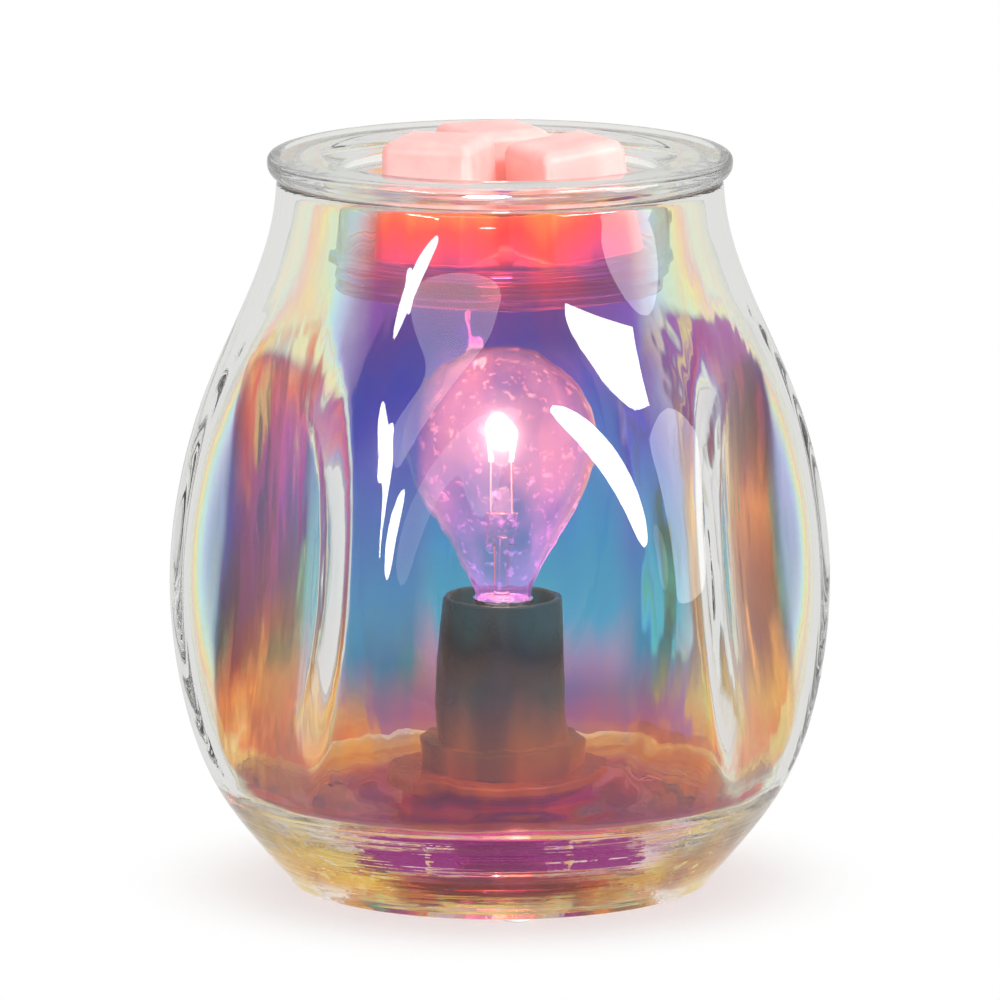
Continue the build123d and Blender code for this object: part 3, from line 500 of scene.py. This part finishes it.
class Graph:
    """A node tree in the making. add() makes a node and links or sets its inputs."""

    def __init__(self, name):
        self.material = bpy.data.materials.new(name)
        self.material.use_nodes = True
        self.tree = self.material.node_tree
        self.tree.nodes.clear()
        self.output = self.add("OutputMaterial")

    def add(self, kind, inputs=(), **settings):
        node = self.tree.nodes.new("ShaderNode" + kind)
        for key, value in settings.items():
            setattr(node, key, value)
        for key, value in dict(inputs).items():
            self.put(node.inputs[key], value)
        return node

    def put(self, socket, value):
        """Links a socket or a node to an input, or sets the input to a constant."""
        if isinstance(value, bpy.types.NodeSocket):
            self.tree.links.new(value, socket)
        elif isinstance(value, bpy.types.Node):
            self.tree.links.new(value.outputs[0], socket)
        elif isinstance(value, tuple) and len(value) == 3 and socket.type == "RGBA":
            socket.default_value = (*value, 1.0)
        else:
            socket.default_value = value

    def math(self, operation, *values):
        node = self.add("Math", operation=operation)
        for socket, value in zip(node.inputs, values):
            self.put(socket, value)
        return node.outputs[0]

    def plus(self, a, b):
        return self.math("ADD", a, b)

    def times(self, first, *others):
        for other in others:
            first = self.math("MULTIPLY", first, other)
        return first

    def fit(self, value, low, high, to_low=0.0, to_high=1.0, smooth=True):
        """Maps low..high of a value to to_low..to_high and holds it there beyond, eased or straight."""
        kind = "SMOOTHSTEP" if smooth else "LINEAR"
        node = self.add("MapRange", interpolation_type=kind)
        for socket, number in zip(node.inputs, (value, low, high, to_low, to_high)):
            self.put(socket, number)
        return node.outputs[0]

    def mix(self, factor, a, b):
        """A colour between a, at factor 0, and b, at factor 1."""
        node = self.add("Mix", data_type="RGBA")
        self.put(node.inputs[0], factor)
        self.put(node.inputs[6], a)
        self.put(node.inputs[7], b)
        return node.outputs[2]

    def gamma(self, colour, power):
        return self.add("Gamma", {0: colour, 1: power}).outputs[0]

    def ramp(self, factor, stops):
        """A colour from (place, colour) stops."""
        node = self.add("ValToRGB")
        while len(node.color_ramp.elements) < len(stops):
            node.color_ramp.elements.new(0.5)
        for element, (place, colour) in zip(node.color_ramp.elements, stops):
            element.position = place
            element.color = (*colour, 1.0)
        self.put(node.inputs[0], factor)
        return node.outputs[0]

    def place(self, scale=(1, 1, 1)):
        """Object coordinates in metres, scaled per axis."""
        where = self.add("TexCoord").outputs["Object"]
        return self.add("VectorMath", {0: where, 1: scale}, operation="MULTIPLY").outputs[0]

    def axes(self):
        """The object coordinates one by one, by the names X, Y and Z."""
        return self.add("SeparateXYZ", {0: self.place()}).outputs

    def spread(self, scale=(1, 1, 1)):
        """Distance from the origin in metres, with the axes scaled."""
        return self.add("VectorMath", {0: self.place(scale)}, operation="LENGTH").outputs["Value"]

    def noise(self, scale, detail=2.0, stretch=(1, 1, 1)):
        where = self.place(stretch)
        return self.add("TexNoise", {"Vector": where, "Scale": scale, "Detail": detail}).outputs[0]

    def centred_noise(self, scale, detail, stretch=(1, 1, 1)):
        """Noise about zero."""
        return self.math("SUBTRACT", self.noise(scale, detail, stretch), 0.5)

    def facing(self):
        """0 where a face looks at the ray and 1 where it is seen edge on."""
        return self.add("LayerWeight", {"Blend": 0.5}).outputs["Facing"]

    def bump(self, height, strength, distance):
        return self.add("Bump", {"Height": height, "Strength": strength, "Distance": distance}).outputs[0]

    def shader(self, **inputs):
        """A Principled shader. Underscores stand for the spaces in socket names."""
        return self.add("BsdfPrincipled", {key.replace("_", " "): value for key, value in inputs.items()})

    def glass(self, colour, ior, **inputs):
        """A smooth glass shader."""
        return self.shader(Base_Color=colour, Roughness=0.0, IOR=ior, Transmission_Weight=1.0, **inputs)

    def finish(self, surface):
        self.tree.links.new(surface.outputs[0], self.output.inputs["Surface"])
        return self.material

    def let_light_through(self, surface, colour):
        """Glass for every ray but those that carry lamp light, which pass it straight."""
        path = self.add("LightPath")
        carries = self.math("MAXIMUM", path.outputs["Is Shadow Ray"], path.outputs["Is Diffuse Ray"])
        clear = self.add("BsdfTransparent", {"Color": colour})
        return self.add("MixShader", {0: carries, 1: surface.outputs[0], 2: clear.outputs[0]})


# Coating on the inner wall. A level is a share of the coated height, which noise moves up and down.
GLASS_IOR, FILM_IOR = 1.5, 1.72
COATED_HEIGHT = 0.160
# How far the levels are raised on the back half, where the bands lie lower than in front
BACK_LIFT = 0.07
DEEPENING, PASTEL_DEEPENING = 2.3, 1.8
FRONT_BANDS = (
    (0.06, (0.80, 0.50, 0.10)),
    (0.12, (0.60, 0.26, 0.30)),
    (0.17, (0.50, 0.14, 0.22)),
    (0.20, (0.92, 0.40, 0.08)),
    (0.25, (0.92, 0.58, 0.22)),
    (0.30, (0.66, 0.50, 0.56)),
    (0.37, (0.10, 0.56, 0.72)),
    (0.48, (0.04, 0.43, 0.74)),
    (0.58, (0.05, 0.26, 0.72)),
    (0.66, (0.12, 0.14, 0.66)),
    (0.74, (0.26, 0.10, 0.56)),
    (0.82, (0.42, 0.10, 0.50)),
    (0.87, (0.84, 0.14, 0.30)),
    (0.91, (1.00, 0.20, 0.10)),
    (0.945, (1.00, 0.58, 0.10)),
)
# The side scoops' bands lie higher on the right than on the left, by SIDE_TILT levels a metre
SIDE_TILT = -2.4
SIDE_BANDS = (
    (0.14, (0.86, 0.62, 0.20)),
    (0.22, (0.56, 0.30, 0.22)),
    (0.32, (0.62, 0.25, 0.06)),
    (0.42, (0.92, 0.50, 0.08)),
    (0.48, (0.52, 0.16, 0.06)),
    (0.54, (0.30, 0.04, 0.22)),
    (0.66, (0.46, 0.04, 0.44)),
    (0.74, (0.62, 0.10, 0.44)),
    (0.82, (0.86, 0.22, 0.14)),
    (0.90, (0.96, 0.78, 0.50)),
)
# Pale colours by slant, from nearly face on to edge on
SLANT_BANDS = (
    (0.16, (0.98, 0.76, 0.68)),
    (0.26, (0.78, 0.76, 0.97)),
    (0.36, (0.70, 0.92, 0.95)),
    (0.46, (0.97, 0.92, 0.56)),
    (0.54, (0.97, 0.74, 0.68)),
    (0.62, (0.86, 0.94, 0.84)),
    (0.72, (0.95, 0.92, 0.78)),
    (0.86, (0.84, 0.89, 0.84)),
    (1.00, (0.50, 0.55, 0.52)),
)
# Thickness of the reflecting film by level, in nanometres, and the one that a white ramp stands for
THICKEST = 400
FILM_BANDS = (
    (0.02, 225), (0.12, 235), (0.20, 250), (0.30, 246), (0.37, 240), (0.41, 192), (0.50, 186),
    (0.56, 168), (0.70, 272), (0.86, 262), (0.93, 238),
)
FLAME, PLUM_CLOUD = (1.0, 0.70, 0.30), (0.56, 0.22, 0.46)
WINDOW_TINTS = (0.95, 0.66, 0.72), (0.80, 0.64, 0.88)
WINDOW_STRENGTH, WINDOW_MIRROR = 0.7, (0.2, 0.2, 0.24)
# Heights between which the side scoops' bands, the window's tint and the plum clouds fade in or out
SCOOP_FOOT, SCOOP_HEAD = (0.026, 0.034), (0.112, 0.122)
WINDOW_FOOT, WINDOW_HEAD = (0.050, 0.062), (0.116, 0.124)
CLOUD_FADE, DEEP_FADE = (0.024, 0.046), (0.026, 0.048)


def side_scoops(g, around, height):
    """1 in the outer halves of the side scoops. Around is the angle from the front."""
    at_side = g.fit(g.math("ABSOLUTE", g.math("SINE", around)), 0.64, 0.78)
    near_scoop = g.fit(g.math("COSINE", g.times(around, float(SCOOPS))), -0.5, 0.3)
    return g.times(near_scoop, at_side, g.fit(height, *SCOOP_FOOT), g.fit(height, *SCOOP_HEAD, 1.0, 0.0))


def front_window(g, around, height):
    """Up to WINDOW_STRENGTH in the front scoop, which shows the bulb."""
    ahead = g.fit(g.math("COSINE", around), 0.925, 0.955)
    return g.times(ahead, g.fit(height, *WINDOW_FOOT), g.fit(height, *WINDOW_HEAD, WINDOW_STRENGTH, 0.0))


def slant_of_ray(g):
    """0 where a ray stands square on the glass and 1 where it grazes it, measured on the air side."""
    inside = g.add("NewGeometry").outputs["Backfacing"]
    cosine = g.math("SUBTRACT", 1.0, g.facing())
    sine_squared = g.math("SUBTRACT", 1.0, g.times(cosine, cosine))
    bent = g.times(sine_squared, g.math("MULTIPLY_ADD", inside, GLASS_IOR**2 - 1, 1.0))
    past_limit = g.math("MAXIMUM", g.math("SUBTRACT", 1.0, bent), 0.0)
    return g.math("SUBTRACT", 1.0, g.math("SQRT", past_limit))


def coated_glass():
    """Glass with an iridescent coating: deep bands of colour face on, pale ones at a slant."""
    g = Graph("coated_glass")
    axes = g.axes()
    height = axes["Z"]
    around = g.math("ARCTAN2", axes["X"], g.times(axes["Y"], -1.0))
    drift = g.centred_noise(14.0, 1.5)
    streak = g.centred_noise(34.0, 4.0, (2.2, 2.2, 0.30))
    wander = g.plus(g.times(drift, 0.10), g.times(streak, 0.20))
    wander = g.plus(wander, g.fit(axes["Y"], -0.01, 0.01, 0.0, BACK_LIFT))
    level = g.plus(g.times(height, 1 / COATED_HEIGHT), wander)

    in_scoop = side_scoops(g, around, height)
    clouds = g.times(g.fit(g.noise(24.0, 4.0), 0.50, 0.58), g.fit(height, *CLOUD_FADE, 0.85, 0.0))
    front = g.mix(clouds, g.ramp(level, FRONT_BANDS), PLUM_CLOUD)
    flames = g.fit(g.noise(52.0, 5.0, (1.6, 1.6, 0.40)), 0.54, 0.64)
    flank = g.mix(flames, g.ramp(g.plus(level, g.times(axes["X"], SIDE_TILT)), SIDE_BANDS), FLAME)
    deep = g.gamma(g.mix(in_scoop, front, flank), DEEPENING)
    window = front_window(g, around, height)
    deep = g.mix(window, deep, g.mix(g.fit(drift, -0.1, 0.1), *WINDOW_TINTS))

    slant = slant_of_ray(g)
    pastel = g.gamma(g.ramp(g.plus(slant, g.times(streak, 0.30)), SLANT_BANDS), PASTEL_DEEPENING)
    pale_from = g.math("MULTIPLY_ADD", in_scoop, 0.36, g.fit(height, *DEEP_FADE, 0.50, 0.17))
    pale_to = g.plus(pale_from, 0.18)
    depth = g.fit(g.plus(slant, g.times(streak, 0.12)), pale_from, pale_to, 1.0, 0.0)

    glass = g.glass(g.mix(depth, pastel, deep), GLASS_IOR, Thin_Film_IOR=FILM_IOR)
    film = g.ramp(level, [(place, (thickness / THICKEST,) * 3) for place, thickness in FILM_BANDS])
    g.put(glass.inputs["Thin Film Thickness"], g.times(film, float(THICKEST)))
    in_window = g.times(window, 1 / WINDOW_STRENGTH)
    g.put(glass.inputs["Specular Tint"], g.mix(in_window, (1.0, 1.0, 1.0), WINDOW_MIRROR))
    ripple = g.times(g.math("MULTIPLY_ADD", window, -0.16, 0.22), g.fit(slant, 0.45, 0.85, 1.0, 0.2))
    g.put(glass.inputs["Normal"], g.bump(g.noise(26.0, 3.0, (2.2, 2.2, 0.5)), ripple, 0.004))
    return g.finish(g.let_light_through(glass, (0.96, 0.96, 0.96)))


# Thick foot. Its colours fade between two radii, two heights or, for the crescent's ends, two depths.
FOOT_WALL, PLUM_EDGE = (0.042, 0.044), (0.026, 0.036)
GOLD_FOOT, GOLD_HEAD = (0.0025, 0.008), (0.017, 0.024)
CRESCENT_FOOT, CRESCENT_ENDS = (0.009, 0.013), (-0.050, -0.044)
RIM_CREAM, FLECK, CRESCENT = (0.98, 0.96, 0.88), (1.0, 0.90, 0.60), (1.0, 0.62, 0.92)
GOLDS = ((0.36, (0.80, 0.36, 0.02)), (0.50, (0.90, 0.58, 0.07)), (0.64, (0.48, 0.20, 0.08)))
PLUMS = ((0.40, (0.42, 0.05, 0.24)), (0.52, (0.86, 0.34, 0.70)), (0.62, (0.36, 0.06, 0.30)))


def gold_glass():
    """The thick foot: gold, with plum clouds under the holder and a pink crescent in front."""
    g = Graph("gold_foot_glass")
    axes = g.axes()
    height = axes["Z"]
    out = g.spread((1, 1, 0))
    cloud = g.noise(34.0, 5.0)
    uneven = g.times(g.math("SUBTRACT", cloud, 0.5), 0.03)
    gold = g.mix(g.fit(g.noise(420.0, 3.0), 0.60, 0.66), g.ramp(cloud, GOLDS), FLECK)
    middle = g.fit(g.plus(out, uneven), *PLUM_EDGE, 1.0, 0.0)
    inner = g.mix(middle, gold, g.ramp(cloud, PLUMS))
    strength = g.times(g.fit(height, *GOLD_FOOT), g.fit(g.plus(height, uneven), *GOLD_HEAD, 1.0, 0.0))
    crescent = g.times(g.fit(height, *CRESCENT_FOOT), g.fit(axes["Y"], *CRESCENT_ENDS, 1.0, 0.0))
    outer = g.mix(crescent, g.mix(strength, RIM_CREAM, gold), CRESCENT)
    glass = g.glass(g.mix(g.fit(out, *FOOT_WALL), inner, outer), GLASS_IOR)
    waves = g.plus(g.noise(60.0, 4.0), g.noise(30.0, 2.0, (0.3, 0.3, 14.0)))
    g.put(glass.inputs["Normal"], g.bump(waves, 0.15, 0.003))
    return g.finish(g.let_light_through(glass, (0.96, 0.95, 0.94)))


def clear_glass(name, tint, edge, ripple=0.12):
    """Plain glass that takes on the edge colour where it is seen edge on."""
    g = Graph(name)
    flow = g.noise(70.0, 2.0, (1, 1, 0.4))
    face = g.mix(flow, tint, tuple(c * 0.985 for c in tint))
    glass = g.glass(g.mix(g.fit(g.facing(), 0.55, 1.0), face, edge), GLASS_IOR)
    if ripple:
        g.put(glass.inputs["Normal"], g.bump(g.noise(42.0, 1.0), ripple, 0.002))
    return g.finish(g.let_light_through(glass, (0.98, 0.98, 0.98)))


# A low index keeps the thin bulb glass from mirroring the room
BULB_IOR = 1.2
# Painted glow of the bulb glass: its colours by height between these two levels, violet low down and pink to
# orange higher up
BULB_PAINTED_GLOW_FOOT, BULB_PAINTED_GLOW_HEAD = 0.060, 0.114
BULB_PAINTED_GLOWS = (
    (0.0, (0.44, 0.20, 0.80)),
    (0.35, (0.74, 0.16, 0.44)),
    (0.62, (1.0, 0.30, 0.18)),
    (1.0, (1.0, 0.42, 0.20)),
)


def bulb_clear():
    """Thin clear glass with a painted pink glow and painted sparkles, standing for the light of the lit
    filament.
    """
    g = Graph("bulb_clear_glass")
    swirl = g.noise(60.0, 4.0, (1, 1, 0.6))
    uneven = g.times(g.math("SUBTRACT", swirl, 0.5), 0.6)
    up = g.fit(g.axes()["Z"], BULB_PAINTED_GLOW_FOOT, BULB_PAINTED_GLOW_HEAD, smooth=False)
    # Painted sparkles: small bright specks of emission
    painted_sparkles = g.fit(g.noise(420.0, 2.0), 0.62, 0.72, 0.0, 0.6)
    glow = g.plus(g.fit(swirl, 0.35, 0.65, 0.03, 0.26), painted_sparkles)
    warm = g.ramp(g.plus(up, uneven), BULB_PAINTED_GLOWS)
    glass = g.glass((0.96, 0.82, 0.90), BULB_IOR, Emission_Color=warm, Emission_Strength=glow)
    return g.finish(g.let_light_through(glass, (0.98, 0.96, 0.96)))


def wax():
    """Soft pink wax, cloudy and slightly grainy."""
    g = Graph("pink_wax")
    cloud = g.noise(90.0, 4.0)
    surface = g.shader(
        Base_Color=g.mix(g.fit(cloud, 0.35, 0.7), (0.92, 0.40, 0.38), (0.95, 0.50, 0.47)), Roughness=0.42,
        Subsurface_Weight=0.6, Subsurface_Scale=0.006, Subsurface_Radius=(1.0, 0.45, 0.35),
        Specular_IOR_Level=0.4,
    )
    g.put(surface.inputs["Normal"], g.bump(g.noise(260.0, 5.0), 0.25, 0.0006))
    return g.finish(surface)


def plastic(name, colour, roughness, grain, scale, painted_glow=(0, 0, 0)):
    """Mottled plastic, rubber or enamel. Its glow colour, where given, is painted light, standing for the
    light that the coating throws on it.
    """
    g = Graph(name)
    mottle = g.noise(scale, 5.0)
    shade = g.mix(mottle, colour, tuple(min(1.0, c * 1.7 + 0.004) for c in colour))
    # The emission is a painted glow, not a lamp
    surface = g.shader(Base_Color=shade, Specular_IOR_Level=0.5, Emission_Color=painted_glow, Emission_Strength=1.0)
    g.put(surface.inputs["Roughness"], g.fit(mottle, 0.3, 0.7, roughness - 0.06, roughness + 0.08))
    g.put(surface.inputs["Normal"], g.bump(g.noise(scale * 6, 3.0), grain, 0.0004))
    return g.finish(surface)


# Painted glow on the holder by height, from HOLDER_FOOT to HOLDER_TOP: amber low down and teal at the top,
# standing for the coating's light
HOLDER_FOOT, HOLDER_TOP = 0.025, 0.062
HOLDER_PAINTED_GLOWS = (
    (0.00, (0.46, 0.16, 0.03)),
    (0.35, (0.26, 0.12, 0.03)),
    (0.62, (0.08, 0.04, 0.01)),
    (0.72, (0.00, 0.01, 0.01)),
    (0.90, (0.00, 0.07, 0.08)),
)


def holder_plastic():
    """Black moulded plastic with painted light: a glow painted teal at its top and amber below, for the light
    of the coating.
    """
    g = Graph("black_phenolic")
    mottle = g.noise(240.0, 5.0)
    stripes = g.noise(70.0, 2.0, (1, 1, 0.12))
    up = g.fit(g.axes()["Z"], HOLDER_FOOT, HOLDER_TOP, smooth=False)
    painted_glow = g.ramp(g.plus(up, g.times(g.math("SUBTRACT", stripes, 0.5), 0.35)), HOLDER_PAINTED_GLOWS)
    shade = g.mix(mottle, (0.006, 0.006, 0.007), (0.012, 0.012, 0.013))
    surface = g.shader(Base_Color=shade, Emission_Color=painted_glow, Specular_IOR_Level=0.12)
    g.put(surface.inputs["Emission Strength"], g.fit(stripes, 0.35, 0.65, 0.35, 1.0))
    g.put(surface.inputs["Roughness"], g.fit(mottle, 0.3, 0.7, 0.24, 0.38))
    g.put(surface.inputs["Normal"], g.bump(g.noise(1400.0, 3.0), 0.1, 0.0004))
    return g.finish(surface)


def metal(name, colour, roughness):
    """Fine-grained plated or brushed metal."""
    g = Graph(name)
    brushed = g.noise(400.0, 4.0, (1, 1, 8))
    surface = g.shader(Base_Color=g.mix(brushed, colour, tuple(c * 0.8 for c in colour)), Metallic=1.0)
    g.put(surface.inputs["Roughness"], g.fit(brushed, 0.3, 0.7, roughness - 0.05, roughness + 0.1))
    g.put(surface.inputs["Normal"], g.bump(brushed, 0.15, 0.0002))
    return g.finish(surface)


def hot_wire():
    """The glowing filament."""
    g = Graph("hot_filament")
    colour = g.mix(g.noise(900.0, 2.0), (1.0, 0.80, 0.55), (1.0, 0.93, 0.80))
    return g.finish(g.shader(Base_Color=(0.9, 0.7, 0.5), Emission_Color=colour, Emission_Strength=60.0))


def dress(names, material):
    """Gives CAD nodes or pieces one material."""
    for name in names:
        piece = nodes.get(name) or bpy.data.objects[name]
        piece.data.materials.clear()
        piece.data.materials.append(material)


# How far the gold glass reaches above the floor, and how far under the rim the coating ends
GOLD_REACH, COATING_RIM_GAP = 0.5, 1.0


def dress_body():
    """Clear glass outside, the coating on the inner wall, and gold glass for the foot."""
    dress(["glass_body"], clear_glass("outer_glass", (0.99, 0.99, 0.97), (0.92, 0.92, 0.85), ripple=0.0))
    coated, gold = 1, 2
    glass_body.data.materials.append(coated_glass())
    glass_body.data.materials.append(gold_glass())
    foot_top, coating_top = FLOOR_TOP + GOLD_REACH, SHELL_TOP - COATING_RIM_GAP
    for polygon in glass_body.data.polygons:
        middle, normal = polygon.center / MM, polygon.normal
        inwards = normal.x * middle.x + normal.y * middle.y < 0
        if middle.z < foot_top:
            polygon.material_index = gold
        elif inwards and middle.z < coating_top:
            polygon.material_index = coated


dress_body()
dress(["glass_dish"], clear_glass("dish_clear_glass", (0.97, 0.98, 0.96), (0.60, 0.64, 0.55)))
dress(["bulb_globe"], bulb_clear())
dress(["bulb_mount"], clear_glass("mount_glass", (0.98, 0.92, 0.93), (0.9, 0.8, 0.82)))
dress(["wax_melt_left", "wax_melt_right", "wax_melt_back"], wax())
dress(["socket_sleeve", "locking_ring", "socket_core"], holder_plastic())
dress(["socket_cap", "base_lid"], plastic("black_enamel", (0.02, 0.018, 0.018), 0.25, 0.08, 160.0))
dress(["cord_grommet"], plastic("gasket_rubber", (0.016, 0.016, 0.016), 0.6, 0.3, 500.0))
dress(["bulb_insulator"], plastic("black_glass_insulator", (0.01, 0.01, 0.012), 0.15, 0.03, 120.0))
# These black pieces have the coating's amber and plum light painted on: a painted amber base colour on the
# flange, a painted plum base colour on the cup, and a painted glow on the flange, the cup and the gaskets
dress(
    ["mounting_flange"],
    plastic("black_enamel_painted_amber_light", (0.20, 0.07, 0.02), 0.25, 0.08, 70.0, (0.10, 0.03, 0.0)),
)
# Black enamel cup with painted plum light: plum base colour and a plum glow
dress(["base_cup"], plastic("black_enamel_painted_plum_light", (0.26, 0.03, 0.18), 0.25, 0.08, 160.0, (0.40, 0.03, 0.26)))
# Black rubber gaskets with a painted plum glow
dress(
    ["upper_gasket", "lower_gasket"],
    plastic("black_rubber_painted_plum_light", (0.016, 0.016, 0.016), 0.6, 0.3, 500.0, (0.24, 0.012, 0.15)),
)
dress(
    ["bumper_pad_1", "bumper_pad_2", "bumper_pad_3"],
    plastic("clear_silicone", (0.75, 0.76, 0.76), 0.4, 0.1, 300.0),
)
dress(
    [
        "threaded_stem", "hex_nut", "lock_washer", "core_screw_front", "core_screw_back",
        "terminal_screw_left", "terminal_screw_right", "lid_screw_1", "lid_screw_2", "lid_screw_3",
    ],
    metal("zinc_plated_steel", (0.72, 0.72, 0.70), 0.3),
)
dress(["socket_screw_shell", "centre_contact"], metal("brass", (0.86, 0.62, 0.28), 0.25))
dress(["bulb_cap"], metal("nickelled_cap", (0.78, 0.74, 0.70), 0.22))
dress(["bulb_contact"], metal("solder", (0.6, 0.6, 0.62), 0.4))
dress(["bulb_lead_left", "bulb_lead_right"], metal("nickel_wire", (0.75, 0.7, 0.66), 0.3))
dress(["bulb_filament"], hot_wire())


def filament_light():
    """The light that the filament gives the pieces round it."""
    data = bpy.data.lights.new("filament_light", "POINT")
    data.energy, data.color, data.shadow_soft_size = 0.45, (1.0, 0.66, 0.36), 0.003
    light = link(bpy.data.objects.new("filament_light", data))
    light.location = (0, 0, (GLOBE_CENTRE + FILAMENT_RISE) * MM)
    return light


def light_only_the_object(lights):
    """Keeps the lights off the floor, so that it stays an even white."""
    lit_pieces = bpy.data.collections.new("lit_pieces")
    for piece in [*nodes.values(), glass_body, glass_dish, bulb_glass]:
        lit_pieces.objects.link(piece)
    for light in lights:
        light.light_linking.receiver_collection = lit_pieces


light_only_the_object([key_box, *mirror_boxes, filament_light()])

# Floor: white paper under the object that turns to a light table round it, as dim as the room in mirrors
FLOOR_REACH = 4000
PAPER_TO_LIGHT = (0.046, 0.082)


def white_floor():
    g = Graph("white_floor")
    paper = g.shader(Base_Color=g.mix(g.noise(3.0), (0.93, 0.93, 0.93), (0.95, 0.95, 0.95)), Roughness=0.9)
    in_mirror = g.math("MINIMUM", g.add("LightPath").outputs["Glossy Depth"], 1.0)
    shine = g.math("MULTIPLY_ADD", in_mirror, MIRRORED - 1.0, 1.0)
    light_table = g.add("Emission", {"Color": (1.0, 1.0, 1.0), "Strength": shine})
    fade = g.fit(g.spread(), *PAPER_TO_LIGHT)
    return g.finish(g.add("MixShader", {0: fade, 1: paper.outputs[0], 2: light_table.outputs[0]}))


corners = [(x * FLOOR_REACH, y * FLOOR_REACH, 0) for x, y in ((-1, -1), (1, -1), (1, 1), (-1, 1))]
floor = mesh("floor", corners, [(0, 1, 2, 3)], smooth=False)
floor.data.materials.append(white_floor())

# Bloom round the filament and the brightest highlights
scene = bpy.context.scene
scene.use_nodes = True
picture = scene.node_tree
picture.nodes.clear()
layers = picture.nodes.new("CompositorNodeRLayers")
bloom = picture.nodes.new("CompositorNodeGlare")
bloom.glare_type = "BLOOM"
for socket_name, value in (("Threshold", 1.3), ("Strength", 0.5), ("Size", 0.4), ("Maximum", 20.0)):
    if socket_name in bloom.inputs:
        bloom.inputs[socket_name].default_value = value
shown = picture.nodes.new("CompositorNodeComposite")
picture.links.new(layers.outputs["Image"], bloom.inputs["Image"])
picture.links.new(bloom.outputs["Image"], shown.inputs["Image"])
